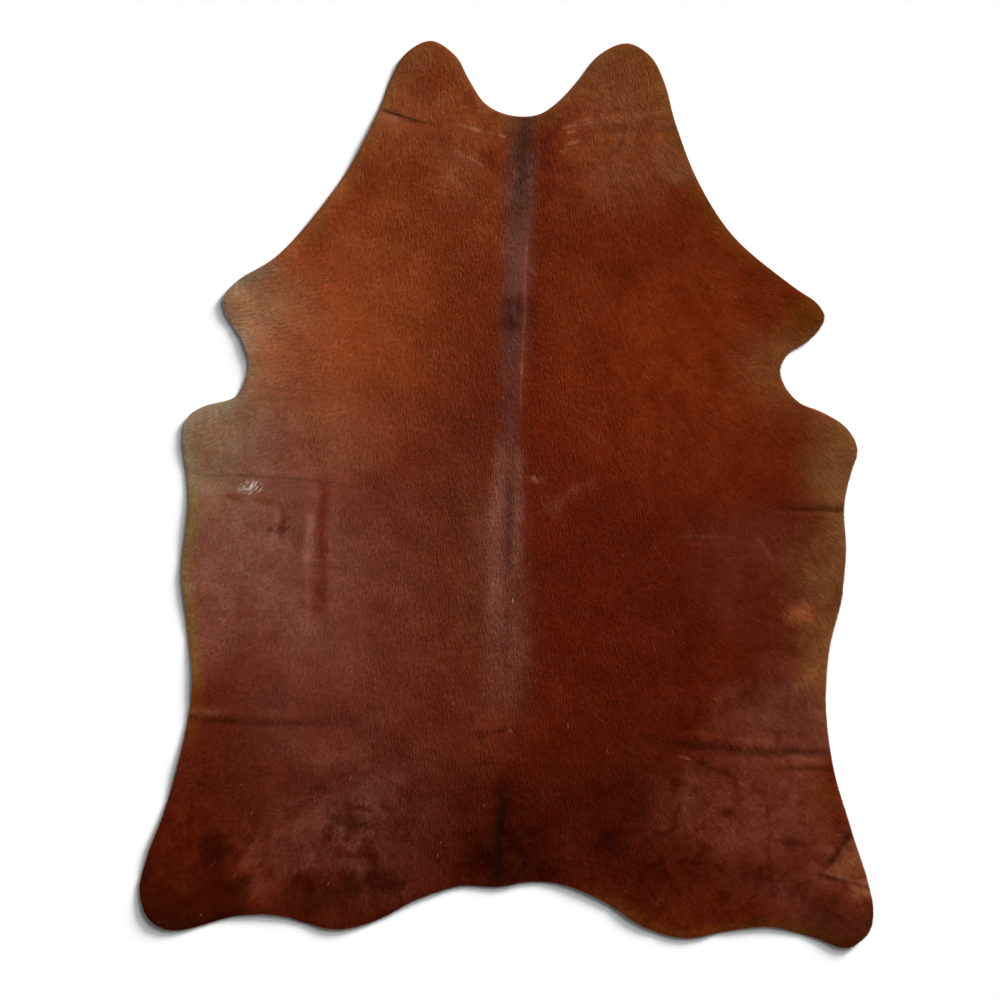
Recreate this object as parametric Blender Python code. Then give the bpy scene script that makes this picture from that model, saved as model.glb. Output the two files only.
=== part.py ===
"""A hair-on cowhide rug, one tanned hide lying flat on the floor with its coat up.

The hide is one solid: a leather sheet with its short coat, cut to the outline of
the skin, with a few low folds where it was once packed. All the folds stand off
the floor and the rest of the flesh side lies flat on it.

Units are metres. +Z is up, +Y runs along the spine towards the neck, +X is the
right-hand flank seen from above. The origin is on the floor, under the middle of
the hide's length and width.
"""

import functools
import math
from typing import NamedTuple

import bmesh
import bpy
import numpy as np
from mathutils import Vector
from mathutils.geometry import delaunay_2d_cdt

MM = 0.001

# Driving sizes of the sheet
SPINE_THICKNESS = 5.0 * MM  # leather and coat together, along the back
BELLY_THICKNESS = 3.8 * MM  # the same, out on the thinner flanks
RIM_THICKNESS = 2.9 * MM  # at the cut edge, where the coat tapers off
RIM_TAPER = 12.0 * MM  # how far inside the edge the coat reaches its full depth
BELLY_REACH = 0.75  # distance from the spine to the thin leather

# How finely the solid follows the real shape
RIM_STEP = 25.0 * MM  # longest piece of the edge
RIM_TURN = math.radians(13.0)  # most that the edge turns from piece to piece
TURN_PROBE = 0.05  # share of a span over which its direction is read at each end
FIELD_STEP = 62.0 * MM  # spacing of the points out in the open
FOLD_STEP = 34.0 * MM  # spacing of the points along a fold
FOLD_FADE = 1 / 3  # share of a fold's length over which each end rises to its height
HALFWAY = 0.5  # where a fold's slope carries points of its own, as a share of it
FOLD_CLEARANCE = 6.0 * MM  # a fold's points keep this far from another fold's
RIM_CLEARANCE = 7.0 * MM  # and this far from the rim
FIELD_CLEARANCE = 24.0 * MM  # open points keep this far from both
SMOOTH_UNDER = math.radians(40.0)

# The dressed coat: red-brown, half matt
COAT_COLOUR = (0.112, 0.022, 0.010, 1.0)
COAT_ROUGHNESS = 0.62


class Landmark(NamedTuple):
    """A point that the outline runs through, in millimetres from the middle."""

    place: str
    x: float
    y: float


class Fold(NamedTuple):
    """A low ridge in the sheet, whose crest runs through a few points.

    All sizes are in millimetres. height is how far the crest lifts the sheet off
    the floor, left how far the sheet takes to rise on the left of the crest, seen
    along its path, and right how far it takes to fall again on the right.
    """

    name: str
    path: tuple
    height: float
    left: float
    right: float


class Curl(NamedTuple):
    """A place where the edge doesn't lie down: its middle, height and reach."""

    name: str
    x: float
    y: float
    height: float
    reach: float


# The outline, clockwise from above: two neck flaps with the bay between them, the
# right fore leg, belly and hind leg, the rump, and the left side back up again.
OUTLINE = (
    Landmark("left neck flap, crown", -183, 1101),
    Landmark("left neck flap, inner shoulder", -121, 1062),
    Landmark("left neck flap, inner side", -93, 1011),
    Landmark("neck bay, left slope", -50, 948),
    Landmark("neck bay, floor by the spine", 8, 921),
    Landmark("neck bay, floor on the right", 76, 922),
    Landmark("neck bay, right slope", 127, 955),
    Landmark("right neck flap, inner side", 176, 1008),
    Landmark("right neck flap, inner shoulder", 225, 1067),
    Landmark("right neck flap, crown", 293, 1095),
    Landmark("right neck flap, outer shoulder", 351, 1062),
    Landmark("right neck flap, outer side", 385, 996),
    Landmark("right neck, crease end", 409, 906),
    Landmark("right neck, base", 465, 761),
    Landmark("right shoulder, hollow", 552, 626),
    Landmark("right fore leg, upper side", 700, 502),
    Landmark("right fore leg, upper corner", 754, 464),
    Landmark("right fore leg, tip", 771, 430),
    Landmark("right fore leg, lower corner", 742, 382),
    Landmark("right notch, upper slope", 679, 338),
    Landmark("right notch, floor", 664, 299),
    Landmark("right notch, lower slope", 679, 257),
    Landmark("right notch, foot", 713, 222),
    Landmark("right elbow, upper side", 766, 200),
    Landmark("right elbow, shoulder", 824, 163),
    Landmark("right elbow, crown", 851, 112),
    Landmark("right elbow, lower side", 834, 47),
    Landmark("right belly, crease end", 819, -33),
    Landmark("right belly, bulge", 824, -130),
    Landmark("right belly, middle", 812, -257),
    Landmark("right flank, upper", 783, -378),
    Landmark("right flank, waist", 775, -512),
    Landmark("right flank, lower", 793, -660),
    Landmark("right hind leg, upper side", 834, -805),
    Landmark("right hind leg, outer side", 875, -932),
    Landmark("right hind leg, widest", 890, -1009),
    Landmark("right hind leg, corner", 880, -1060),
    Landmark("right hind leg, tip", 827, -1100),
    Landmark("right hind leg, inner side", 744, -1075),
    Landmark("right rump, hollow", 635, -1049),
    Landmark("right rump, slope", 528, -1060),
    Landmark("right rump, lobe", 431, -1076),
    Landmark("right rump, inner shoulder", 339, -1052),
    Landmark("right rump, inner slope", 227, -983),
    Landmark("tail, right hollow", 130, -944),
    Landmark("tail, right root", 50, -939),
    Landmark("tail, stump", -23, -951),
    Landmark("tail, left hollow", -113, -949),
    Landmark("left rump, inner slope", -208, -978),
    Landmark("left rump, inner shoulder", -324, -1036),
    Landmark("left rump, lobe", -419, -1054),
    Landmark("left rump, slope", -557, -1020),
    Landmark("left rump, hollow", -647, -1021),
    Landmark("left hind leg, tip", -812, -1057),
    Landmark("left hind leg, corner", -868, -1029),
    Landmark("left hind leg, widest", -890, -961),
    Landmark("left hind leg, outer side", -873, -883),
    Landmark("left hind leg, upper side", -824, -750),
    Landmark("left flank, lower", -776, -565),
    Landmark("left flank, waist", -762, -451),
    Landmark("left belly, lower", -778, -293),
    Landmark("left belly, bulge", -788, -189),
    Landmark("left belly, hollow", -771, -14),
    Landmark("left elbow, side", -784, 144),
    Landmark("left elbow, corner", -773, 188),
    Landmark("left elbow, crown", -737, 213),
    Landmark("left notch, foot", -659, 237),
    Landmark("left notch, lower slope", -635, 275),
    Landmark("left notch, floor", -624, 319),
    Landmark("left notch, upper slope", -640, 375),
    Landmark("left fore leg, lower side", -676, 433),
    Landmark("left fore leg, tip", -686, 479),
    Landmark("left fore leg, upper corner", -654, 518),
    Landmark("left fore leg, upper side", -555, 581),
    Landmark("left neck, base", -395, 773),
    Landmark("left neck, crease end", -307, 940),
    Landmark("left neck flap, outer side", -280, 1011),
    Landmark("left neck flap, outer shoulder", -246, 1069),
)

# The folds. Each starts and ends at nothing, so one that runs out over the edge
# has its end a little past the outline.
FOLDS = (
    Fold("left neck crease", ((-345, 948), (-262, 921), (-175, 894)), 4.0, 32, 18),
    Fold(
        "right neck crest",
        ((90, 866), (183, 898), (275, 904), (345, 914), (450, 928)),
        4.5,
        32,
        20,
    ),
    Fold("right neck tuck", ((300, 872), (262, 826)), 3.0, 20, 26),
    Fold("left belly crease", ((-840, 46), (-520, 33), (-320, 14)), 3.0, 36, 22),
    Fold(
        "left belly dent, outer lip",
        ((-476, 10), (-490, -130), (-486, -300), (-520, -410)),
        2.5,
        18,
        34,
    ),
    Fold(
        "left belly dent, inner lip",
        ((-428, 0), (-440, -150), (-434, -300), (-462, -410)),
        3.0,
        34,
        18,
    ),
    Fold("left flank fold", ((-850, -532), (-610, -546), (-430, -554)), 6.5, 38, 18),
    Fold("right belly crease", ((630, -30), (740, -30), (880, -37)), 4.5, 36, 20),
    Fold(
        "right flank fold",
        ((330, -596), (560, -618), (650, -630), (735, -619), (860, -632)),
        6.5,
        34,
        18,
    ),
    Fold("right flank second fold", ((410, -656), (600, -668), (860, -666)), 4.5, 22, 20),
    Fold("right leg crease", ((720, -898), (800, -928), (950, -968)), 5.0, 34, 18),
    Fold("rump crease", ((-110, -574), (20, -575)), 3.0, 28, 18),
)

# Where the edge stands a little off the floor, as a dry hide's edge does
CURLS = (
    Curl("left neck flap", -190, 1120, 5.0, 180),
    Curl("right neck flap", 300, 1115, 5.0, 180),
    Curl("left fore leg", -710, 480, 4.5, 130),
    Curl("right fore leg", 795, 430, 5.0, 140),
    Curl("left elbow", -805, 175, 4.0, 150),
    Curl("right elbow", 880, 110, 4.5, 150),
    Curl("left belly", -850, -240, 4.0, 170),
    Curl("right belly", 880, -190, 3.5, 170),
    Curl("right flank", 850, -470, 3.5, 150),
    Curl("left hind leg", -890, -1060, 6.0, 220),
    Curl("right hind leg", 880, -1090, 5.5, 220),
    Curl("left rump lobe", -410, -1120, 4.0, 180),
    Curl("right rump lobe", 430, -1140, 4.0, 180),
    Curl("tail", 10, -1010, 3.0, 150),
)


def smooth(value):
    """Ease from 0 to 1 with level ends."""
    value = min(max(value, 0.0), 1.0)
    return value * value * (3.0 - 2.0 * value)


def spline_point(knots, k, share):
    """Give the centripetal spline's point a share of the way past knot k.

    The outline's landmarks are unevenly spaced, and this spline keeps to them
    without a loop or a kink between a short span and a long one.
    """
    p = [knots[(k + i) % len(knots)] for i in (-1, 0, 1, 2)]
    t = [0.0]
    for before, after in zip(p, p[1:]):
        t.append(t[-1] + math.sqrt((after - before).length))
    at = t[1] + (t[2] - t[1]) * share

    def between(a, b, start, end):
        return a + (b - a) * ((at - start) / (end - start))

    a1, a2, a3 = (between(p[i], p[i + 1], t[i], t[i + 1]) for i in range(3))
    b1 = between(a1, a2, t[0], t[2])
    b2 = between(a2, a3, t[1], t[3])
    return between(b1, b2, t[1], t[2])


def rim_line():
    """Give the hide's edge as points, closer together where it turns more."""
    knots = [Vector((mark.x * MM, mark.y * MM)) for mark in OUTLINE]
    line = []
    for k, knot in enumerate(knots):
        following = knots[(k + 1) % len(knots)]
        start = spline_point(knots, k, TURN_PROBE) - knot
        end = following - spline_point(knots, k, 1 - TURN_PROBE)
        turn = start.angle(end)
        length = (following - knot).length
        steps = max(1, math.ceil(length / RIM_STEP), math.ceil(turn / RIM_TURN))
        line += [spline_point(knots, k, step / steps) for step in range(steps)]
    low = Vector((min(p.x for p in line), min(p.y for p in line)))
    high = Vector((max(p.x for p in line), max(p.y for p in line)))
    middle = (low + high) / 2
    return [point - middle for point in line]


def inner_line(rim):
    """Give the line a taper's width inside the edge, which runs clockwise."""
    line = []
    for before, point, after in zip(rim[-1:] + rim, rim, rim[1:] + rim[:1]):
        along = (after - before).normalized()
        line.append(point + Vector((along.y, -along.x)) * RIM_TAPER)
    return line


def is_inside(point, line):
    """Tell whether a point lies inside a closed line."""
    inside = False
    for a, b in zip(line, line[1:] + line[:1]):
        if (a.y > point.y) != (b.y > point.y):
            crossing = a.x + (point.y - a.y) * (b.x - a.x) / (b.y - a.y)
            inside ^= point.x < crossing
    return inside


def gap_to(point, others):
    """Give the distance from a point to the nearest of some others."""
    return float(np.hypot(*(others - np.array(point)).T).min())


@functools.cache
def crest_line(fold):
    """Give a fold's crest as points at an even spacing, from start to end."""
    knots = [Vector(place) * MM for place in fold.path]
    knots = [2 * knots[0] - knots[1], *knots, 2 * knots[-1] - knots[-2]]
    line = [knots[1]]
    for k in range(1, len(knots) - 2):
        steps = max(1, round((knots[k + 1] - knots[k]).length / FOLD_STEP))
        line += [spline_point(knots, k, (step + 1) / steps) for step in range(steps)]
    return line


def left_of(way):
    """Give the direction to the left of a way, of length one."""
    return Vector((-way.y, way.x)).normalized()


def fold_points(fold):
    """Give the points that carry one fold: five lines along its crest."""
    crest = crest_line(fold)
    left, right = fold.left, -fold.right
    lines = (left, left * HALFWAY, 0.0, right * HALFWAY, right)
    return [
        point + left_of(after - before) * (line * MM)
        for before, point, after in zip(crest[:1] + crest, crest, crest[1:] + crest[-1:])
        for line in lines
    ]


def fold_lift(fold, point):
    """Give how far one fold lifts the sheet at a point, in millimetres."""
    crest = crest_line(fold)
    nearest = math.inf
    for k, (start, end) in enumerate(zip(crest, crest[1:])):
        way = end - start
        share = min(max((point - start).dot(way) / way.length_squared, 0.0), 1.0)
        aside = point - start - way * share
        if aside.length < nearest:
            nearest = aside.length
            reach = fold.left if aside.dot(left_of(way)) > 0 else fold.right
            along = (k + share) / (len(crest) - 1)
    ends = smooth(along / FOLD_FADE) * smooth((1.0 - along) / FOLD_FADE)
    return fold.height * ends * smooth(1.0 - nearest / (reach * MM))


def curl_lift(curl, point):
    """Give how far one curled place lifts the sheet at a point, in millimetres."""
    away = (point - Vector((curl.x, curl.y)) * MM).length
    return curl.height * smooth(1.0 - away / (curl.reach * MM))


def lift(point):
    """Give how far the flesh side stands off the floor at a point."""
    folds = max(fold_lift(fold, point) for fold in FOLDS)
    curls = max(curl_lift(curl, point) for curl in CURLS)
    return max(folds, curls) * MM


def thickness(point):
    """Give the sheet's thickness inside the rim, less on the flanks."""
    flank = smooth(abs(point.x) / BELLY_REACH)
    return SPINE_THICKNESS + (BELLY_THICKNESS - SPINE_THICKNESS) * flank


def all_fold_points(edge, inner):
    """Give the points of every fold that lie inside the hide, clear of each other."""
    points = []
    for fold in FOLDS:
        taken = np.array(points or edge)
        points += [
            tuple(point)
            for point in fold_points(fold)
            if gap_to(point, edge) > RIM_CLEARANCE
            and gap_to(point, taken) > FOLD_CLEARANCE
            and is_inside(point, inner)
        ]
    return points


def field_points(edge, inner, folds):
    """Give an even field of points inside the hide, clear of its rim and folds."""
    taken = np.array(list(edge) + folds)
    low, high = edge.min(axis=0), edge.max(axis=0)
    row_step = FIELD_STEP * math.sqrt(0.75)
    points = []
    for row in range(math.ceil((high[1] - low[1]) / row_step)):
        shift = FIELD_STEP / 2 * (row % 2)
        for column in range(math.ceil((high[0] - low[0]) / FIELD_STEP)):
            x = low[0] + column * FIELD_STEP + shift
            point = Vector((x, low[1] + row * row_step))
            if gap_to(point, taken) > FIELD_CLEARANCE and is_inside(point, inner):
                points.append(tuple(point))
    return points


def build_hide():
    """Build the hide: its flesh side first, then its coat side and its edge."""
    rim = rim_line()
    inner = inner_line(rim)
    count = len(rim)
    edge = np.array([tuple(point) for point in rim + inner])
    folds = all_fold_points(edge, inner)
    points = rim + inner + [Vector(p) for p in folds + field_points(edge, inner, folds)]
    loops = [(k, (k + 1) % count) for k in range(count)]
    loops += [(count + a, count + b) for a, b in loops]
    flat, _, faces, origins, _, _ = delaunay_2d_cdt(points, loops, [], 1, 1e-7)

    bm = bmesh.new()
    for point in flat:
        bm.verts.new((point.x, point.y, lift(point)))
    bm.verts.ensure_lookup_table()
    for face in faces:
        bm.faces.new([bm.verts[k] for k in reversed(face)])

    on_rim = [min(origin) < count for origin in origins]
    depth = {
        tuple(flat[k]): RIM_THICKNESS if on_rim[k] else thickness(flat[k])
        for k in range(len(flat))
    }
    coat = bmesh.ops.extrude_face_region(bm, geom=bm.faces[:], use_keep_orig=True)
    for element in coat["geom"]:
        if isinstance(element, bmesh.types.BMVert):
            element.co.z += depth[(element.co.x, element.co.y)]
    bmesh.ops.recalc_face_normals(bm, faces=bm.faces[:])

    mesh = bpy.data.meshes.new("hide")
    bm.to_mesh(mesh)
    bm.free()
    mesh.shade_smooth()
    mesh.set_sharp_from_angle(angle=SMOOTH_UNDER)
    hide = bpy.data.objects.new("hide", mesh)
    bpy.context.scene.collection.objects.link(hide)
    return hide


def coat_material():
    """Make the colour of the dressed coat."""
    material = bpy.data.materials.new("brown_cowhide_coat")
    material.use_nodes = True
    shader = material.node_tree.nodes["Principled BSDF"]
    shader.inputs["Base Color"].default_value = COAT_COLOUR
    shader.inputs["Roughness"].default_value = COAT_ROUGHNESS
    shader.inputs["Metallic"].default_value = 0.0
    return material


for old in list(bpy.data.objects):
    bpy.data.objects.remove(old)
build_hide().data.materials.append(coat_material())
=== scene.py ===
"""A brown hair-on cowhide rug on a pale floor: one thin leather sheet under a short coat.

The sheet lies on the folds and lifted edges of the frame's hide. The coat is made of
small locks of hair, each rooted in the sheet and lying along the hair's flow, which runs
from the neck to the tail and out over the flanks. A lock takes its tone from where it lies.

Units are metres, and the tables of places and sizes are in millimetres. +Z is up, +Y
runs along the spine towards the neck, and +X is the right-hand flank seen from above.
"""

import logging
import math
from dataclasses import dataclass, field
from enum import Enum

import bmesh
import bpy
import numpy as np
from bpy.types import Material, Mesh, Node, NodeSocket, NodeTree, Object
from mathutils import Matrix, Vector
from mathutils.geometry import delaunay_2d_cdt
from mathutils.kdtree import KDTree


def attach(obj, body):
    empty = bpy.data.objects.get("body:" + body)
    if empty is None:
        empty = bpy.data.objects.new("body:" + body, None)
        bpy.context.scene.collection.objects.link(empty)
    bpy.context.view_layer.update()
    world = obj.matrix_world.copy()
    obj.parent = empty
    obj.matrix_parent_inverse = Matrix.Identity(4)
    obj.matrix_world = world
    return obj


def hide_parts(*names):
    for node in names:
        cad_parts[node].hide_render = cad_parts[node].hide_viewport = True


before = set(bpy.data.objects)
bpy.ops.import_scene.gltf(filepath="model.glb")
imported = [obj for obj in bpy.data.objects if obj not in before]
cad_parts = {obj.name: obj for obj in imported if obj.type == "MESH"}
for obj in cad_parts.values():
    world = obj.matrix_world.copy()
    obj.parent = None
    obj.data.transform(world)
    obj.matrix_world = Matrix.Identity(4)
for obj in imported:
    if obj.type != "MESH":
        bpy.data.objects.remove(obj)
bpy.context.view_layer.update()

MM = 0.001
BODY = "root"
NODE = "hide"
LOG = logging.getLogger("cowhide")
WHITE = "#FFFFFF"
Path = tuple[tuple[float, float], ...]
Colour = tuple[float, float, float]

# The sRGB curve: where its straight foot ends, and its slope, shift and power.
SRGB_KNEE, SRGB_SLOPE, SRGB_SHIFT, SRGB_POWER = 0.04045, 12.92, 0.055, 2.4

# The number of a drift's waves, and the span of their reaches, as shares of the drift's.
DRIFT_WAVES = 9
DRIFT_REACH = (0.7, 1.6)

# The points between two knots of a line, and the height of an even triangle of side one.
SPLINE_STEPS = 12
TRIANGLE_RISE = math.sqrt(0.75)


# ---------------------------------------------------------------- tables of the hide


class Tone(Enum):
    """The tones of the dyed coat, as sRGB hex values. Some of the dark ones also serve as
    painted shade at the feet of folds and in creases and dents, some of the pale ones as
    painted highlights on crests and lips, and the rosy and the dusty pale ones partly as
    painted sheen.
    """

    GARNET = "#571808"
    CHESTNUT = "#78351A"
    BRICK = "#772A10"
    RUSSET = "#7E391C"
    COPPER = "#8A6046"
    FAWN = "#775C46"
    SAGE = "#7C6856"
    # A rosy tone, partly the coat's own and partly painted sheen where the hair would catch the light.
    ROSE = "#704338"
    BLUSH = "#8C5A4C"
    SALMON = "#8C563E"
    TAWNY = "#82492E"
    CLAY = "#683429"
    UMBER = "#622C1B"
    RUBY = "#561808"
    WINE = "#501407"
    CEDAR = "#6E3324"
    MAUVE = "#532920"
    MULBERRY = "#6C3C30"
    OLIVE = "#6C5632"
    MOSS = "#6A3D16"
    BRONZE = "#80522F"
    AMBER = "#8C5432"
    COGNAC = "#64280F"
    WALNUT = "#6A370F"
    MAHOGANY = "#46160A"
    OXBLOOD = "#3C0E04"
    EMBER = "#270801"
    BURNT = "#3A0C04"
    SOOT = "#1C0804"
    SLATE = "#33201B"
    PLUM = "#5E3B34"
    COCOA = "#5A2D25"
    BONE = "#D2C8C4"
    # A pale tone for scuffs, stray pale hairs and the parting, and also for painted highlights on the small
    # crests of the neck.
    SCUFF = "#B06F50"
    RUST = "#96502E"
    # A rosy-grey pale tone, partly the coat's own and partly painted sheen where the hair would catch the
    # light.
    DUST = "#6A382C"


@dataclass(frozen=True)
class Fold:
    """A low ridge in the sheet, left from packing, whose crest runs through a few points.

    height is how far the crest lifts the sheet off the floor. left and right are how far
    the sheet takes to rise and to fall on either side, seen along the path.
    """

    name: str
    path: Path
    height: float
    left: float
    right: float


@dataclass(frozen=True)
class Curl:
    """A place where the edge doesn't lie down: its middle, height and reach."""

    name: str
    x: float
    y: float
    height: float
    reach: float


@dataclass(frozen=True)
class Crease:
    """A fine line pressed into the coat side alone: a trough, or a ridge above nought."""

    name: str
    path: Path
    height: float
    reach: float


@dataclass(frozen=True)
class Bloom:
    """A soft round or oval field where the coat turns to another tone."""

    name: str
    tone: Tone
    x: float
    y: float
    across: float
    along: float
    strength: float
    turn: float = 0.0


@dataclass(frozen=True)
class Streak:
    """A soft line where the coat turns to another tone, fading at its ends and sides.

    broken is the share of it that comes and goes along the line.
    """

    name: str
    tone: Tone
    path: Path
    reach: float
    strength: float
    broken: float = 0.3


@dataclass(frozen=True)
class Speckle:
    """A place where a share of the locks has another tone, whole or at the tip alone."""

    name: str
    tone: Tone
    x: float
    y: float
    across: float
    along: float
    share: float
    tips: bool = False


FOLDS = (
    Fold("left neck crease", ((-345, 948), (-262, 921), (-175, 894)), 0.9, 26, 10),
    Fold("right neck crest", ((90, 866), (183, 898), (275, 904), (345, 914), (450, 928)), 0.6, 32, 26),
    Fold("right neck tuck", ((300, 872), (262, 826)), 0.8, 20, 24),
    Fold("left belly crease", ((-840, 46), (-520, 33), (-320, 14)), 0.35, 36, 18),
    Fold("left belly dent, outer lip", ((-476, 10), (-490, -130), (-486, -300), (-520, -410)), 0.6, 14, 34),
    Fold("left belly dent, inner lip", ((-424, 0), (-432, -150), (-430, -300), (-462, -410)), 0.6, 34, 20),
    Fold("left flank fold", ((-1000, -519), (-850, -528), (-640, -540), (-400, -552)), 1.3, 36, 20),
    Fold("right belly crease", ((630, -24), (740, -24), (880, -30)), 1.2, 36, 16),
    Fold("right flank fold",
        ((330, -588), (450, -598), (560, -609), (650, -620), (735, -614), (860, -618)), 1.15, 34, 26),
    Fold("right flank second fold", ((570, -650), (730, -652), (860, -662), (950, -668)), 0.6, 22, 18),
    Fold("right leg crease", ((720, -898), (800, -928), (950, -968)), 1.3, 34, 14),
    Fold("rump crease", ((-110, -570), (20, -571)), 0.5, 26, 15),
)

CURLS = (
    Curl("left neck flap", -190, 1120, 6.8, 180),
    Curl("right neck flap", 300, 1115, 5.0, 180),
    Curl("left fore leg", -710, 480, 5.5, 130),
    Curl("right fore leg", 795, 430, 5.0, 140),
    Curl("left elbow", -805, 175, 5.8, 150),
    Curl("right elbow", 880, 110, 4.5, 150),
    Curl("left belly", -850, -240, 6.3, 170),
    Curl("right belly", 880, -190, 3.5, 170),
    Curl("right flank", 850, -470, 3.5, 150),
    Curl("left hind leg", -890, -1060, 6.0, 220),
    Curl("right hind leg", 880, -1090, 6.4, 220),
    Curl("left rump lobe", -410, -1120, 6.4, 180),
    Curl("right rump lobe", 430, -1140, 5.5, 180),
    Curl("tail", 10, -1010, 4.8, 150),
    Curl("left neck edge", -370, 870, 5.5, 140),
    Curl("left neck foot", -490, 710, 5.5, 150),
    Curl("left withers", -610, 590, 6.5, 140),
    Curl("left belly, upper", -815, -60, 7.0, 150),
    Curl("left flank", -805, -450, 6.6, 150),
    Curl("left flank, lower", -830, -640, 6.6, 150),
    Curl("left hind leg, outer", -890, -820, 7.0, 160),
    Curl("left rump hollow", -590, -1060, 6.0, 150),
    Curl("left of the tail", -200, -1010, 5.0, 150),
    Curl("right of the tail", 170, -1000, 5.0, 150),
    Curl("right rump edge", 300, -1060, 4.4, 140),
    Curl("right rump hollow", 610, -1090, 6.0, 150),
    Curl("left armpit", -655, 345, 6.5, 105),
)

CREASES = (
    Crease("left neck nick", ((-320, 937), (-263, 921), (-180, 896)), -0.54, 7),
    Crease("left neck scuff line", ((-127, 902), (-69, 882), (-9, 869)), 0.24, 8),
    Crease("left neck long scuff", ((-153, 846), (-84, 812), (-35, 780)), 0.24, 8),
    Crease("right neck second crest", ((352, 884), (380, 892), (415, 902)), 0.44, 12),
    Crease("right neck dark tuck", ((288, 885), (280, 860), (271, 836)), -0.49, 12),
    Crease("right neck short scuff", ((166, 848), (186, 855), (208, 861)), 0.24, 8),
    Crease("left belly line", ((-700, 45), (-600, 42), (-526, 37), (-392, 23)), -0.2, 10),
    Crease("left belly upper line", ((-623, 265), (-501, 251)), -0.24, 12),
    Crease("left belly lower line", ((-635, 234), (-501, 229)), -0.24, 12),
    Crease("left belly scar nick", ((-686, -4), (-645, -9)), -0.39, 11),
    Crease("left belly second nick", ((-613, -11), (-569, -24)), -0.39, 11),
    Crease("left belly small dent", ((-543, -30), (-546, -78), (-552, -123)), -0.49, 16),
    Crease("left flank foot", ((-900, -531), (-744, -543), (-620, -549), (-380, -558)), -0.3, 15),
    Crease("right belly foot", ((600, -32), (740, -37), (880, -40)), -0.49, 9),
    Crease("right belly streak", ((608, -101), (625, -130), (652, -172)), 0.16, 10),
    Crease("right belly faint line", ((399, -104), (579, -106)), 0.24, 10),
    Crease("right flank foot", ((330, -597), (531, -614), (603, -624), (690, -634)), -0.3, 15),
    Crease("right flank edge foot", ((640, -622), (760, -626), (850, -628)), -0.4, 12),
    Crease("right flank second foot", ((640, -668), (730, -668), (850, -671)), -0.25, 10),
    Crease("right leg slanting nick", ((860, -795), (812, -858), (770, -918)), -0.8, 11),
    Crease("right leg faint line", ((630, -842), (713, -847), (756, -854)), -0.34, 12),
    Crease("right leg upright line", ((717, -681), (713, -742), (700, -803)), -0.29, 16),
    Crease("rump second crease", ((-100, -662), (-60, -654), (-18, -646)), -0.3, 12),
    Crease("spine nick", ((-93, -528), (-88, -546), (-82, -564)), -0.44, 8),
)

# The broad fields run lighter and more orange towards the upper left and darker towards the lower right:
# partly the coat's own tone and partly painted sheen.
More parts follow.
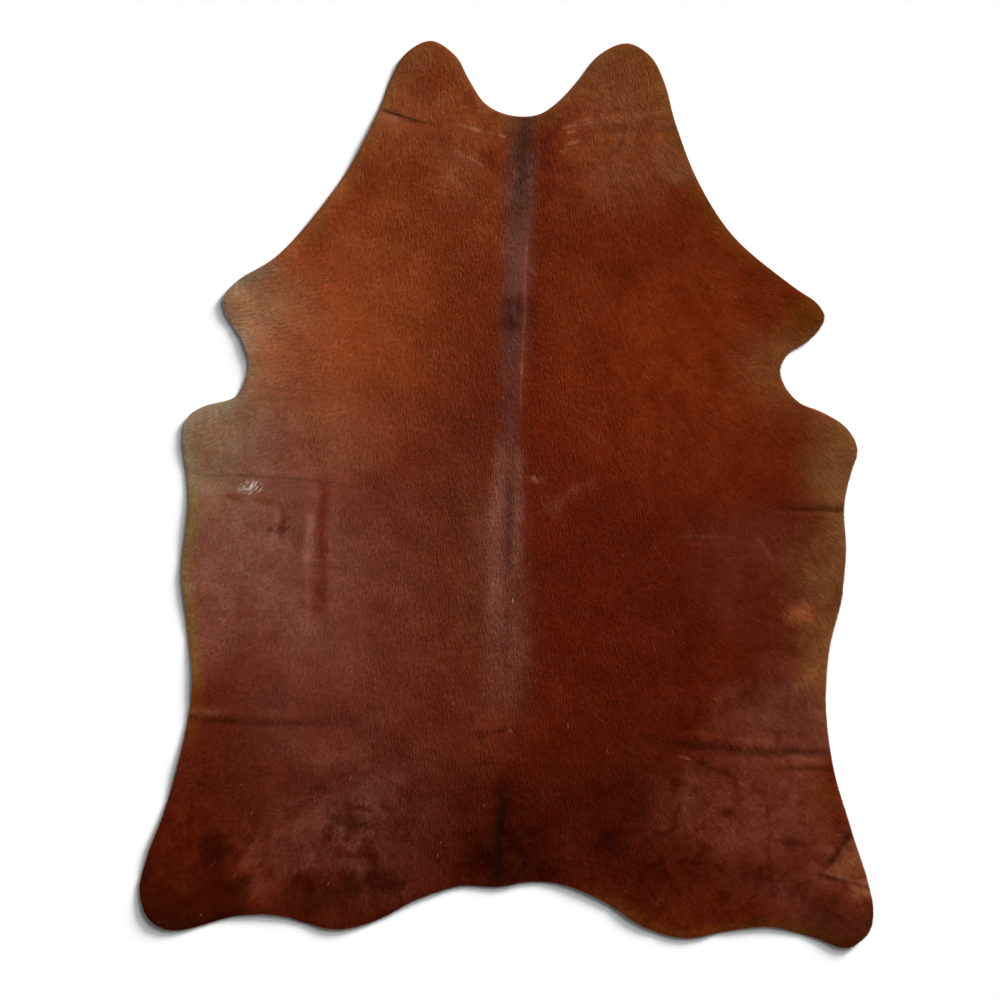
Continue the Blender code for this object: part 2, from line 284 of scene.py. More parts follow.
BLOOMS = (
    Bloom("neck and withers", Tone.CHESTNUT, -16, 1000, 900, 760, 1.0),
    Bloom("right shoulder", Tone.BRICK, 430, 345, 620, 540, 0.9),
    Bloom("left shoulder", Tone.RUSSET, -405, 420, 490, 560, 1.0, -20),
    Bloom("left shoulder, outer", Tone.SALMON, -562, 362, 200, 270, 0.5),
    Bloom("left inner belly", Tone.CLAY, -420, -230, 460, 620, 0.9),
    # Partly painted sheen: the left belly's rosy paleness stands for light off the hair as well as its tone.
    Bloom("left belly", Tone.ROSE, -660, -80, 400, 560, 0.95),
    Bloom("left ribs", Tone.TAWNY, -440, 140, 200, 210, 0.45),
    Bloom("left elbow", Tone.FAWN, -805, 180, 325, 385, 0.9),
    Bloom("left fore leg", Tone.COPPER, -710, 440, 280, 260, 0.85),
    Bloom("beside the spine", Tone.UMBER, -90, -180, 230, 700, 0.8),
    Bloom("right withers", Tone.RUBY, 240, 610, 230, 170, 0.4),
    Bloom("left neck flap", Tone.TAWNY, -245, 950, 180, 210, 0.45),
    Bloom("right neck flap", Tone.TAWNY, 270, 975, 230, 210, 0.7),
    Bloom("right neck, middle", Tone.TAWNY, 290, 790, 150, 110, 0.6),
    Bloom("left neck, middle", Tone.TAWNY, -115, 790, 130, 130, 0.5),
    Bloom("notch, right side", Tone.WINE, 95, 830, 75, 170, 0.6),
    Bloom("right neck pale patch", Tone.SALMON, 412, 800, 75, 55, 0.55, -35),
    Bloom("right middle", Tone.WINE, 330, -420, 520, 520, 0.35),
    Bloom("right ribs", Tone.CLAY, 615, -170, 240, 230, 0.35),
    Bloom("right flank edge", Tone.BRONZE, 880, -260, 250, 600, 0.95),
    Bloom("right elbow", Tone.BRONZE, 845, 95, 170, 200, 0.75),
    Bloom("right fore leg", Tone.BRONZE, 715, 305, 220, 210, 0.7),
    Bloom("right fore leg tip", Tone.WALNUT, 755, 475, 150, 120, 0.8),
    Bloom("right lower flank", Tone.CEDAR, 700, -700, 300, 360, 0.9),
    Bloom("right flank pale band", Tone.MULBERRY, 676, -529, 200, 120, 0.5),
    Bloom("right flank, upper band", Tone.CEDAR, 664, -400, 120, 90, 0.5),
    Bloom("right flank edge, middle", Tone.BRONZE, 752, -185, 120, 120, 0.45),
    Bloom("right flank amber edge", Tone.AMBER, 775, -450, 120, 140, 0.75),
    Bloom("left lower flank", Tone.MAHOGANY, -740, -640, 330, 330, 0.9),
    Bloom("rump, left", Tone.MAUVE, -360, -800, 440, 400, 0.85),
    Bloom("rump, middle", Tone.OXBLOOD, -10, -880, 400, 330, 0.95),
    Bloom("rump, right", Tone.OXBLOOD, 260, -820, 360, 420, 0.85),
    Bloom("rump, far right", Tone.CEDAR, 500, -760, 260, 250, 0.45),
    Bloom("rump, pale stripe", Tone.COCOA, -212, -812, 70, 120, 0.35),
    Bloom("right hind leg", Tone.CEDAR, 780, -900, 230, 200, 0.6),
    Bloom("right leg, outer", Tone.COGNAC, 800, -742, 120, 190, 0.8),
    Bloom("right leg, tucked cut", Tone.TAWNY, 868, -905, 75, 85, 0.85),
    Bloom("right hind tip", Tone.MAHOGANY, 800, -1050, 220, 120, 0.85),
    Bloom("right hind spot", Tone.BURNT, 769, -1032, 28, 44, 0.7),
    Bloom("right hind specks", Tone.BURNT, 600, -1032, 24, 9, 0.6),
    Bloom("right hind leg, dust", Tone.COCOA, 750, -1050, 190, 100, 0.35),
    Bloom("right hind leg, upper dust", Tone.COCOA, 660, -960, 140, 75, 0.4),
    Bloom("left hind leg", Tone.OXBLOOD, -850, -950, 270, 240, 0.9),
    Bloom("left leg, upper", Tone.OXBLOOD, -715, -800, 190, 150, 0.5),
    Bloom("left rump foot", Tone.EMBER, -470, -1020, 320, 130, 0.8),
    Bloom("left leg, inner dark", Tone.EMBER, -695, -956, 100, 130, 0.6),
    Bloom("left hind tip", Tone.EMBER, -812, -1050, 210, 130, 0.95),
    Bloom("root of the tail", Tone.EMBER, -5, -900, 180, 200, 0.75),
    Bloom("left hind leg, dark spot", Tone.EMBER, -708, -864, 40, 60, 0.6),
    # Rosy-grey pale patches on the left rump, partly the coat's own tone and partly painted sheen.
    Bloom("left rump, clear dust", Tone.DUST, -570, -865, 95, 80, 0.3),
    Bloom("left rump, middle dust", Tone.DUST, -500, -905, 80, 40, 0.3),
    Bloom("left rump, lower dust", Tone.DUST, -600, -948, 42, 26, 0.25),
    Bloom("left rump, dark corner", Tone.EMBER, -650, -955, 36, 36, 0.7),
    Bloom("left rump, upper dust", Tone.DUST, -455, -790, 85, 35, 0.28),
    Bloom("left rump, blotch 1", Tone.BURNT, -633, -834, 20, 20, 0.85),
    Bloom("left rump, blotch 2", Tone.BURNT, -655, -884, 20, 24, 0.76),
    Bloom("left rump, blotch 3", Tone.EMBER, -392, -796, 62, 22, 0.54, -14),
    Bloom("left rump, blotch 4", Tone.BURNT, -396, -838, 30, 15, 0.8),
    Bloom("left rump, blotch 5", Tone.BURNT, -334, -880, 30, 26, 0.76),
    Bloom("left rump, blotch 6", Tone.BURNT, -499, -946, 36, 24, 0.85),
    Bloom("left rump, blotch 7", Tone.EMBER, -472, -966, 26, 18, 0.65),
    Bloom("left rump, blotch 8", Tone.BURNT, -409, -929, 38, 20, 0.8),
    Bloom("left rump, blotch 9", Tone.EMBER, -375, -949, 36, 34, 0.65),
    Bloom("left rump, blotch 10", Tone.EMBER, -300, -938, 60, 38, 0.7),
    Bloom("left rump, blotch 11", Tone.BURNT, -535, -978, 22, 14, 0.76),
    Bloom("left rump, blotch 12", Tone.BURNT, -581, -917, 16, 26, 0.6),
    Bloom("left rump, blotch 13", Tone.BURNT, -441, -836, 16, 28, 0.65),
    Bloom("left rump, blotch 14", Tone.BURNT, -465, -918, 28, 13, 0.65),
    Bloom("left rump, blotch 15", Tone.BURNT, -538, -847, 26, 16, 0.4),
    Bloom("right rump, dusk", Tone.MAHOGANY, 580, -930, 220, 95, 0.7),
    Bloom("right rump, foot", Tone.OXBLOOD, 370, -985, 130, 60, 0.6),
    # Rosy-grey pale patches on the right rump and flank, partly the coat's own tone and partly painted
    # sheen.
    Bloom("right rump, dust streak", Tone.DUST, 436, -716, 26, 84, 0.32),
    Bloom("right rump, dust", Tone.CEDAR, 568, -760, 88, 80, 0.7),
    Bloom("right flank, dust", Tone.DUST, 690, -505, 88, 60, 0.45),
    Bloom("right rump, blotch 1", Tone.WINE, 452, -824, 30, 18, 0.7),
    Bloom("right rump, blotch 2", Tone.BURNT, 693, -850, 30, 20, 0.6),
    Bloom("right rump, blotch 3", Tone.OXBLOOD, 318, -706, 50, 85, 0.5),
    Bloom("right rump, blotch 4", Tone.EMBER, 251, -844, 40, 34, 0.5),
    Bloom("right rump, blotch 5", Tone.WINE, 415, -697, 13, 40, 0.65),
    Bloom("right rump, blotch 7", Tone.OXBLOOD, 494, -664, 60, 12, 0.5, -5),
    Bloom("right rump, blotch 8", Tone.WINE, 580, -677, 30, 9, 0.4),
    Bloom("left belly, dark spot", Tone.OXBLOOD, -552, -80, 26, 18, 0.7),
    Bloom("right rump, blotch 6", Tone.WINE, 540, -770, 75, 14, 0.5),
    Bloom("right scar", Tone.RUST, 722, -288, 38, 28, 0.7),
    Bloom("right scar, tail", Tone.RUST, 703, -311, 30, 15, 0.4),
    Bloom("pale patch beside the spine", Tone.TAWNY, 110, -26, 30, 27, 0.2),
    Bloom("notch, foot", Tone.WALNUT, 25, 905, 110, 48, 0.5),
    Bloom("notch, dark side", Tone.RUBY, 80, 892, 62, 60, 0.45),
    Bloom("right neck flap, side", Tone.RUST, 385, 866, 46, 36, 0.3),
    Bloom("left loin", Tone.MAUVE, -540, -540, 150, 120, 0.45),
    Bloom("left flank, below the fold", Tone.MAHOGANY, -610, -602, 150, 80, 0.65),
)

RIM_TINTS = (
    Bloom("left fore leg", Tone.SAGE, -676, 472, 170, 210, 0.7),
    Bloom("left elbow", Tone.SAGE, -770, 132, 270, 240, 0.95),
    Bloom("left belly", Tone.OLIVE, -778, -170, 200, 340, 0.9),
    Bloom("left flank", Tone.WALNUT, -764, -440, 130, 220, 0.6),
    Bloom("right elbow", Tone.BRONZE, 849, 70, 130, 130, 0.4),
    Bloom("right neck", Tone.MOSS, 500, 700, 220, 320, 0.5),
    Bloom("right flank", Tone.GARNET, 800, -645, 70, 85, 0.75),
    Bloom("right hind tip", Tone.EMBER, 800, -1100, 220, 160, 0.7),
    Bloom("left rump", Tone.BURNT, -480, -1010, 520, 260, 0.75),
    Bloom("left hind tip", Tone.EMBER, -780, -1030, 220, 200, 0.85),
    Bloom("right rump", Tone.EMBER, 480, -1040, 380, 260, 0.25),
    Bloom("right rump, foot", Tone.MOSS, 500, -1040, 460, 200, 0.35),
    Bloom("right fore leg", Tone.BRONZE, 705, 385, 110, 80, 0.45),
    Bloom("left neck", Tone.BRONZE, -420, 760, 260, 320, 0.4),
    Bloom("neck flaps", Tone.OLIVE, 0, 1000, 600, 260, 0.22),
    Bloom("right neck flap", Tone.MOSS, 410, 960, 150, 190, 0.5),
)

STREAKS = (
    Streak("sheen beside the spine", Tone.ROSE, ((-30, 60), (-8, -250), (8, -590)), 90, 0.55),
    Streak("dark side of the spine", Tone.WINE,
        ((92, 880), (86, 780), (78, 660), (70, 540), (60, 420)), 52, 0.5, 0.2),
    Streak("spine, upper", Tone.PLUM,
        ((46, 950), (34, 760), (26, 593), (18, 399), (13, 229)), 60, 0.85, 0.15),
    Streak("spine, dusky side", Tone.SLATE, ((22, 1000), (18, 884), (14, 790)), 40, 0.4, 0.2),
    Streak("spine, neck end", Tone.SLATE, ((47, 1055), (45, 884), (35, 739), (30, 654)), 34, 0.85),
    Streak("spine, lower", Tone.COCOA,
        ((18, 496), (13, 326), (8, 156), (11, -14), (6, -208)), 52, 0.75, 0.15),
    Streak("spine, pale side", Tone.BLUSH,
        ((-8, 180), (-14, 83), (-22, -38), (-28, -160), (-35, -354)), 34, 0.45),
    Streak("spine, dusty side", Tone.BLUSH, ((26, 150), (27, 40), (26, -100), (24, -220)), 24, 0.35),
    Streak("spine, mauve core", Tone.SLATE, ((7, 70), (8, -50), (4, -160), (3, -225)), 15, 0.5),
    Streak("spine, low core", Tone.WINE, ((3, -225), (1, -360), (-3, -500)), 14, 0.4),
    # Pale sides of the spine, partly the coat's own tone and partly painted sheen.
    Streak("spine, low pale side", Tone.DUST, ((-36, -270), (-40, -370), (-40, -470)), 26, 0.6),
    Streak("spine, low bright side", Tone.DUST, ((26, -320), (28, -390), (24, -450)), 18, 0.45),
    Streak("spine, middle line", Tone.COCOA, ((6, 229), (5, 130), (4, 70)), 14, 0.35),
    Streak("whorl", Tone.BURNT, ((16, 500), (14, 440), (12, 385)), 46, 0.8, 0.1),
    Streak("whorl, dusty middle", Tone.PLUM, ((20, 462), (20, 437), (18, 415)), 13, 0.6, 0.1),
    Streak("whorl, dark side", Tone.SOOT, ((33, 496), (30, 462), (26, 436)), 9, 0.6),
    Streak("beside the parting", Tone.OXBLOOD, ((62, 500), (60, 445), (54, 385)), 24, 0.5),
    Streak("spine parting", Tone.SCUFF,
        ((58, 700), (53, 640), (46, 556), (45, 447), (38, 338), (35, 229), (33, 160)), 4.5, 0.38, 0.5),
    Streak("tail", Tone.SOOT, ((-8, -669), (-14, -815), (-18, -985)), 30, 0.8),
    Streak("tail, dark core", Tone.SOOT,
        ((-14, -718), (-15, -790), (-17, -860), (-18, -950)), 13, 0.85, 0.15),
    # Painted shade: a dark line along the left neck crease.
    Streak("left neck nick", Tone.SOOT,
        ((-420, 958), (-350, 942), (-300, 931), (-263, 921), (-229, 910), (-175, 893)), 5.5, 0.7, 0.1),
    Streak("left neck scuff line", Tone.SCUFF,
        ((-146, 904), (-119, 899), (-79, 884), (-42, 877), (-11, 870)), 4.5, 0.35, 0.5),
    Streak("left neck scuff, bright", Tone.SCUFF, ((-88, 888), (-76, 884), (-62, 879)), 4, 0.95, 0.1),
    Streak("left neck scuff, end", Tone.SCUFF, ((-22, 873), (-11, 870), (0, 868)), 4, 0.9, 0.1),
    Streak("left neck top scuff", Tone.SCUFF, ((-82, 931), (-50, 928), (-22, 923)), 4.5, 0.35, 0.6),
    # Painted highlight on the lit side of the left neck crease.
    Streak("left neck lit side", Tone.SALMON, ((-318, 922), (-290, 914), (-255, 902)), 12, 0.5),
    Streak("left neck long scuff", Tone.SCUFF,
        ((-158, 846), (-132, 831), (-103, 820), (-63, 802), (-37, 783)), 4.5, 0.35, 0.5),
    Streak("left neck long scuff, bright", Tone.SCUFF, ((-100, 820), (-79, 810), (-56, 797)), 4, 0.95, 0.1),
    Streak("left neck third scuff", Tone.SCUFF, ((-150, 776), (-132, 760), (-118, 744)), 14, 0.22, 0.8),
    # Painted highlight: a pale line where the right neck crest catches the light.
    Streak("right neck crest, bright", Tone.SCUFF,
        ((126, 886), (150, 892), (186, 901), (218, 907)), 4.5, 0.8, 0.5),
    # Painted highlight on the crest's top, and painted shade under it and in the tuck.
    Streak("right neck crest", Tone.SALMON,
        ((130, 893), (227, 908), (324, 920), (410, 936)), 14, 0.55, 0.4),
    Streak("under the right crest", Tone.BURNT, ((230, 880), (266, 886), (380, 905)), 18, 0.22),
    Streak("right neck tuck", Tone.BURNT, ((280, 893), (287, 880), (280, 858), (268, 826)), 10, 0.45),
    # Painted highlights too: pale lines on the small crests below the right neck crest.
    Streak("right neck short scuff", Tone.SCUFF, ((137, 842), (160, 851), (186, 861)), 4.5, 0.8, 0.5),
    Streak("right neck lower scuff", Tone.SCUFF, ((126, 826), (150, 838), (178, 846)), 4.5, 0.4, 0.6),
    Streak("right neck dash", Tone.SCUFF, ((143, 877), (172, 882)), 4.5, 0.5, 0.2),
    Streak("right neck dots", Tone.SCUFF, ((165, 986), (184, 984), (206, 977)), 5, 0.5, 0.7),
    # Painted highlight on the second crest, and painted shade under it.
    Streak("right neck second crest", Tone.SALMON, ((344, 884), (380, 892), (412, 901)), 8, 0.5),
    Streak("under the second crest", Tone.BURNT, ((330, 870), (370, 884), (430, 902)), 13, 0.3),
    # Painted shade: dark lines along the pressed troughs of the left belly and beside the white scar.
    Streak("left belly upper line", Tone.UMBER, ((-623, 265), (-501, 251)), 13, 0.4, 0.6),
    Streak("left belly lower line", Tone.UMBER, ((-635, 234), (-501, 229)), 13, 0.4, 0.6),
    Streak("left belly line", Tone.UMBER,
        ((-740, 44), (-647, 45), (-526, 37), (-453, 30), (-360, 17)), 10, 0.3, 0.6),
    Streak("left scar nick", Tone.UMBER, ((-694, -2), (-668, -6), (-636, -14)), 15, 0.8, 0.1),
    Streak("left second nick", Tone.UMBER, ((-622, -8), (-590, -15), (-560, -27)), 15, 0.85, 0.1),
    # The left dents: painted highlights on their lit lips, and painted shade in their grooves and along
    # their foot and cross lines.
    Streak("left dent, lit lip", Tone.BLUSH, ((-470, -12), (-476, -90), (-486, -200)), 20, 0.6, 0.5),
    Streak("left dent", Tone.GARNET,
        ((-438, 110), (-444, 20), (-450, -90), (-450, -200), (-446, -330)), 26, 0.6, 0.4),
    Streak("left dent, upper", Tone.GARNET, ((-438, 40), (-446, -20), (-450, -100)), 20, 0.55, 0.2),
    Streak("left dent, middle", Tone.GARNET, ((-448, -40), (-452, -110), (-446, -190)), 22, 0.7, 0.3),
    Streak("left dent, spots", Tone.GARNET, ((-448, -225), (-462, -272), (-452, -320)), 18, 0.6, 0.5),
    Streak("left dent, cross line", Tone.UMBER, ((-484, -172), (-450, -176), (-400, -180)), 7, 0.4, 0.4),
    Streak("left dent, foot", Tone.UMBER, ((-470, -345), (-486, -385), (-484, -430)), 14, 0.45, 0.7),
    Streak("left small dent", Tone.UMBER, ((-538, -22), (-543, -70), (-552, -135)), 20, 0.5),
    Streak("left small dent, spot", Tone.GARNET, ((-564, -77), (-534, -79)), 13, 0.35, 0.1),
    Streak("left small dent, lit lip", Tone.BLUSH, ((-552, -21), (-567, -111), (-576, -170)), 11, 0.45),
    # Painted highlight on the left flank fold's lit crest, and painted shade at its foot.
    Streak("left flank lit crest", Tone.SALMON, ((-900, -520), (-760, -527), (-660, -533)), 13, 0.4),
    Streak("left flank foot", Tone.OXBLOOD,
        ((-1000, -525), (-880, -533), (-744, -543), (-620, -549), (-501, -553), (-350, -559)), 14, 0.5, 0.4),
    # Painted shade at the foot of the right belly crease.
    Streak("right belly foot", Tone.BURNT, ((640, -28), (740, -32), (830, -38), (900, -40)), 16, 0.3),
    Streak("right belly foot, edge", Tone.BURNT, ((740, -28), (830, -38), (900, -42)), 13, 0.45, 0.1),
    Streak("right belly streak", Tone.BLUSH, ((604, -95), (625, -130), (652, -172)), 9, 0.2),
    Streak("right belly faint line", Tone.BLUSH, ((399, -104), (579, -106)), 7, 0.18, 0.8),
    Streak("under the right scar", Tone.BURNT, ((660, -324), (700, -332), (748, -330)), 15, 0.4),
    Streak("curved scar", Tone.TAWNY, ((118, -26), (136, -8), (160, 6), (190, 20), (232, 25)), 15, 0.32),
    Streak("beside the spine, cross line", Tone.SCUFF, ((25, 37), (65, 36), (110, 34)), 3.5, 0.25),
    Streak("beside the spine, pale dot", Tone.SCUFF, ((56, 37), (65, 37), (74, 36)), 4.5, 0.7, 0.0),
    # Painted shade at the feet of the right flank folds, and a painted highlight on the lit crest between
    # them.
    Streak("right flank shade", Tone.BURNT, ((210, -586), (420, -598), (600, -620), (760, -622)), 20, 0.45),
    Streak("right flank foot", Tone.OXBLOOD, ((370, -599), (531, -616), (603, -626), (720, -634)), 17, 0.4),
    Streak("right flank edge foot", Tone.OXBLOOD, ((580, -619), (735, -625), (900, -628)), 13, 0.55),
    Streak("right flank lit crest", Tone.SALMON, ((676, -632), (732, -644), (795, -650)), 10, 0.28),
    Streak("right second foot, edge", Tone.BURNT, ((640, -667), (790, -666), (920, -668)), 13, 0.4),
    Streak("right flank small scuff", Tone.SCUFF, ((416, -635), (432, -639), (450, -644)), 4.5, 0.7, 0.5),
    # The right leg: painted shade along its slanting crease, at the fold's foot and in its faint and upright
    # troughs, and a painted highlight on the lit crest.
    Streak("right leg nick", Tone.EMBER,
        ((875, -775), (843, -815), (812, -858), (782, -900), (762, -930)), 11, 0.85, 0.1),
    Streak("right leg lit crest", Tone.SALMON, ((758, -914), (822, -932), (900, -951)), 11, 0.4),
    Streak("right leg foot", Tone.BURNT, ((690, -914), (760, -926), (830, -942), (930, -970)), 9, 0.6),
    Streak("right leg side line", Tone.BURNT, ((742, -900), (735, -940), (722, -985)), 12, 0.35),
    Streak("right leg faint line", Tone.BURNT, ((630, -842), (713, -847), (756, -854)), 13, 0.4, 0.6),
    Streak("right leg upright line", Tone.BURNT, ((721, -681), (717, -742), (704, -803)), 18, 0.35),
    # Painted shade along the rump crease and its dark end.
    Streak("rump crease", Tone.BURNT, ((-95, -572), (-62, -575), (-28, -577)), 13, 0.3),
    Streak("rump crease, dark end", Tone.BURNT, ((-30, -577), (-12, -574), (2, -570)), 8, 0.7),
    Streak("rump spot", Tone.SCUFF, ((4, -572), (10, -574), (15, -576)), 5, 0.55, 0.0),
    # Painted shade along the second rump crease and the spine's crease.
    Streak("rump second crease", Tone.BURNT, ((-100, -662), (-60, -654), (-18, -646)), 13, 0.4),
    Streak("spine nick", Tone.BURNT, ((-93, -528), (-88, -546), (-82, -564)), 13, 0.4),
)

SPECKLES = (
    Speckle("white scar on the left belly", Tone.BONE, -619, 19, 27, 15, 0.3),
    Speckle("white wisp on the spine", Tone.BONE, 16, -258, 3, 4, 0.35),
    Speckle("stray pale hairs", Tone.SCUFF, 0, 0, 1500, 1800, 0.0003, tips=True),
)

MOTTLES = (
    Bloom("left rump", Tone.OXBLOOD, -400, -830, 400, 360, 1.0),
    Bloom("left leg", Tone.OXBLOOD, -768, -860, 300, 340, 0.8),
    Bloom("right rump", Tone.OXBLOOD, 500, -860, 560, 420, 1.0),
    Bloom("right leg", Tone.OXBLOOD, 800, -900, 260, 300, 0.9),
    Bloom("right flank", Tone.OXBLOOD, 560, -560, 420, 300, 0.6),
    Bloom("right ribs", Tone.OXBLOOD, 760, -250, 320, 420, 0.45),
    Bloom("left belly", Tone.WINE, -640, -220, 420, 520, 0.3),
    Bloom("root of the tail", Tone.WINE, 0, -880, 300, 300, 1.0),
    Bloom("loin", Tone.WINE, 150, -350, 900, 500, 0.3),
    Bloom("neck", Tone.WINE, 30, 900, 700, 500, 0.45),
    Bloom("right shoulder", Tone.WINE, 420, 330, 500, 520, 0.35),
)


# ---------------------------------------------------------------- shared small tools


def linear(hex_code: str) -> Colour:
    """Turn an sRGB hex colour to linear light.

    Args:
        hex_code: A hash sign and six hex digits.

    Returns:
        Red, green and blue, from 0 to 1.
    """
    parts = (int(hex_code[k : k + 2], 16) / 255 for k in (1, 3, 5))
    return tuple(
        c / SRGB_SLOPE if c <= SRGB_KNEE else ((c + SRGB_SHIFT) / (1 + SRGB_SHIFT)) ** SRGB_POWER
        for c in parts
    )


def smooth(value: np.ndarray) -> np.ndarray:
    """Ease a share of the way from 0 to 1, with level ends."""
    value = np.clip(value, 0.0, 1.0)
    return value * value * (3.0 - 2.0 * value)


def taper(share: np.ndarray, part: float) -> np.ndarray:
    """Give 1 along a line, easing to 0 over a part of its length at either end."""
    return smooth(share / part) * smooth((1.0 - share) / part)


def drift(points: np.ndarray, reach: float, seed: int) -> np.ndarray:
    """Give a soft wandering value, made of a few waves in all directions.

    Args:
        points: Places on the floor, one a row.
        reach: About how far the value takes to rise and fall again.
        seed: Which wandering of many.

    Returns:
        A value for each place, mostly between -1 and 1.
    """
    rng = np.random.default_rng(seed)
    places = points.astype(np.float32)
    total = np.zeros(len(points), np.float32)
    for _ in range(DRIFT_WAVES):
        angle, phase = rng.uniform(0.0, math.tau, 2)
        turns = math.tau / (reach * rng.uniform(*DRIFT_REACH))
        way = np.array([math.cos(angle), math.sin(angle)], np.float32) * np.float32(turns)
        total += np.sin(places @ way + np.float32(phase))
    return total.astype(float) / math.sqrt(DRIFT_WAVES)


def spline_line(knots: np.ndarray, step: float, closed: bool = False) -> np.ndarray:
    """Draw a smooth line through knots, with its points at an even spacing.

    The knots may be unevenly spaced, and the centripetal spline keeps to them without a
    loop or a kink.

    Args:
        knots: The points that the line runs through.
        step: The spacing of the line's points, at most.
        closed: Whether the line returns to its first knot, which isn't repeated then.

    Returns:
        The line's points, one a row.
    """
    if closed:
        knots = np.concatenate([knots[-1:], knots, knots[:2]])
    else:
        knots = np.concatenate([2 * knots[:1] - knots[1:2], knots, 2 * knots[-1:] - knots[-2:-1]])
    dense = []
    for span in zip(knots, knots[1:], knots[2:], knots[3:]):
        gaps = [math.sqrt(np.linalg.norm(b - a)) for a, b in zip(span, span[1:])]
        times = np.cumsum([0.0, *gaps])
        at = np.linspace(times[1], times[2], SPLINE_STEPS, endpoint=False)[:, None]

        def between(a: np.ndarray, b: np.ndarray, start: int, end: int) -> np.ndarray:
            """Go from a to b as the time goes from one knot's to another's."""
            return a + (b - a) * ((at - times[start]) / (times[end] - times[start]))

        first, middle, last = (between(span[k], span[k + 1], k, k + 1) for k in range(3))
        dense.append(between(between(first, middle, 0, 2), between(middle, last, 1, 3), 1, 2))
    line = np.concatenate(dense + [knots[-2:-1]])
    run = np.concatenate([[0.0], np.cumsum(np.linalg.norm(np.diff(line, axis=0), axis=1))])
    marks = np.linspace(0.0, run[-1], max(2, math.ceil(run[-1] / step)) + 1)
    marks = marks[:-1] if closed else marks
    return np.stack([np.interp(marks, run, line[:, axis]) for axis in range(2)], axis=1)


def measure_to(
    path: Path, step: float, points: np.ndarray, reach: float
) -> tuple[np.ndarray, np.ndarray, np.ndarray, np.ndarray]:
    """Measure where the places near a table's path lie beside it.

    Args:
        path: The path, in millimetres, which is drawn as a smooth open line.
        step: The spacing of the line's points, at most.
        points: The places.
        reach: How far from the line a place still counts.

    Returns:
        Which places are near. For each of them the distance to the line, 1 on its left
        or -1 on its right, and the share of its length that lies behind the place.
    """
    line = spline_line(np.array(path, float) * MM, step)
    low, high = line.min(0) - reach, line.max(0) + reach
    x, y = points.T
    found = np.flatnonzero((x > low[0]) & (x < high[0]) & (y > low[1]) & (y < high[1]))
    near = points[found]
    distance = np.full(len(found), np.inf)
    side = np.ones(len(found))
    share = np.zeros(len(found))
    spans = len(line) - 1
    for k in range(spans):
        way = line[k + 1] - line[k]
        offset = near - line[k]
        along = np.clip(offset @ way / (way @ way), 0.0, 1.0)
        aside = offset - along[:, None] * way
        gap = np.hypot(aside[:, 0], aside[:, 1])
        closer = gap < distance
        distance[closer] = gap[closer]
        side[closer] = np.where(way[0] * aside[closer, 1] > way[1] * aside[closer, 0], 1.0, -1.0)
        share[closer] = (k + along[closer]) / spans
    return found, distance, side, share


def in_oval(
    points: np.ndarray, spot: Bloom | Speckle, turn: float = 0.0
) -> tuple[np.ndarray, np.ndarray]:
    """Tell how deep the places in an oval lie in it.

    Args:
        points: The places.
        spot: The oval's middle and its two half widths, in millimetres.
        turn: How far the oval is turned, in degrees.

    Returns:
        Which places lie in the oval, and for each of them 1 at the middle, down to 0 on
        the oval's edge.
    """
    reach = max(spot.across, spot.along) * MM
    x, y = points[:, 0] - spot.x * MM, points[:, 1] - spot.y * MM
    found = np.flatnonzero((np.abs(x) < reach) & (np.abs(y) < reach))
    x, y = x[found], y[found]
    c, s = math.cos(math.radians(turn)), math.sin(math.radians(turn))
    across, along = (x * c + y * s) / (spot.across * MM), (y * c - x * s) / (spot.along * MM)
    depth = 1.0 - np.hypot(across, along)
    inside = depth > 0.0
    return found[inside], depth[inside]


def add_node(tree: NodeTree, kind: str, feeds: dict | None = None, **settings: object) -> Node:
    """Add a node, with its settings and links.

    Args:
        tree: The tree that takes the node.
        kind: The node's type.
        feeds: For each input, by its name or its place, a plain value, the socket that
            feeds it, or the node whose only used output feeds it.
        settings: The node's own properties.

    Returns:
        The new node.
    """
    node = tree.nodes.new(kind)
    for name, value in settings.items():
        setattr(node, name, value)
    for key, value in (feeds or {}).items():
        if isinstance(key, str):
            socket = next(s for s in node.inputs if s.name == key and s.enabled)
        else:
            socket = node.inputs[key]
        if isinstance(value, Node):
            value = next(s for s in value.outputs if s.enabled)
        if isinstance(value, NodeSocket):
            tree.links.new(value, socket)
        else:
            socket.default_value = value
    return node


def write_values(mesh: Mesh, name: str, kind: str, values: np.ndarray) -> None:
    """Keep a value on each point of a mesh.

    Args:
        mesh: The mesh.
        name: The attribute's name.
        kind: FLOAT, FLOAT_VECTOR or FLOAT_COLOR.
        values: One value or row for each point.
    """
    attribute = mesh.attributes.new(name, kind, "POINT")
    part = {"FLOAT": "value", "FLOAT_VECTOR": "vector", "FLOAT_COLOR": "color"}[kind]
    attribute.data.foreach_set(part, np.ascontiguousarray(values, np.float32).ravel())


def write_tone(mesh: Mesh, tone: np.ndarray) -> None:
    """Keep a colour on each point of a mesh, as its tone."""
    write_values(mesh, "tone", "FLOAT_COLOR", np.column_stack([tone, np.ones(len(tone))]))


def read_values(data: object, part: str, kind: type = np.float32) -> np.ndarray:
    """Read a number from each of a mesh's corners, or of an attribute's values.

    Args:
        data: The corners, or the attribute's data.
        part: The name of the number in them.
        kind: The type of the number.

    Returns:
        A number for each.
    """
    values = np.empty(len(data), kind)
    data.foreach_get(part, values)
    return values


def read_rows(data: object, part: str) -> np.ndarray:
    """Read a place or a direction from each of a mesh's points, or of an attribute's values.

    Args:
        data: The points, or the attribute's data.
        part: The name of the place or direction in them.

    Returns:
        Three numbers for each, in a row.
    """
    values = np.empty(len(data) * 3, np.float32)
    data.foreach_get(part, values)
    return values.reshape(-1, 3).astype(float)


def link_object(name: str, content: object) -> Object:
    """Put a mesh, a lamp or a camera in the scene, at the origin.

    Args:
        name: The object's name.
        content: What it holds.

    Returns:
        The new object.
    """
    made = bpy.data.objects.new(name, content)
    bpy.context.scene.collection.objects.link(made)
    return made


# ---------------------------------------------------------------- form and colour fields


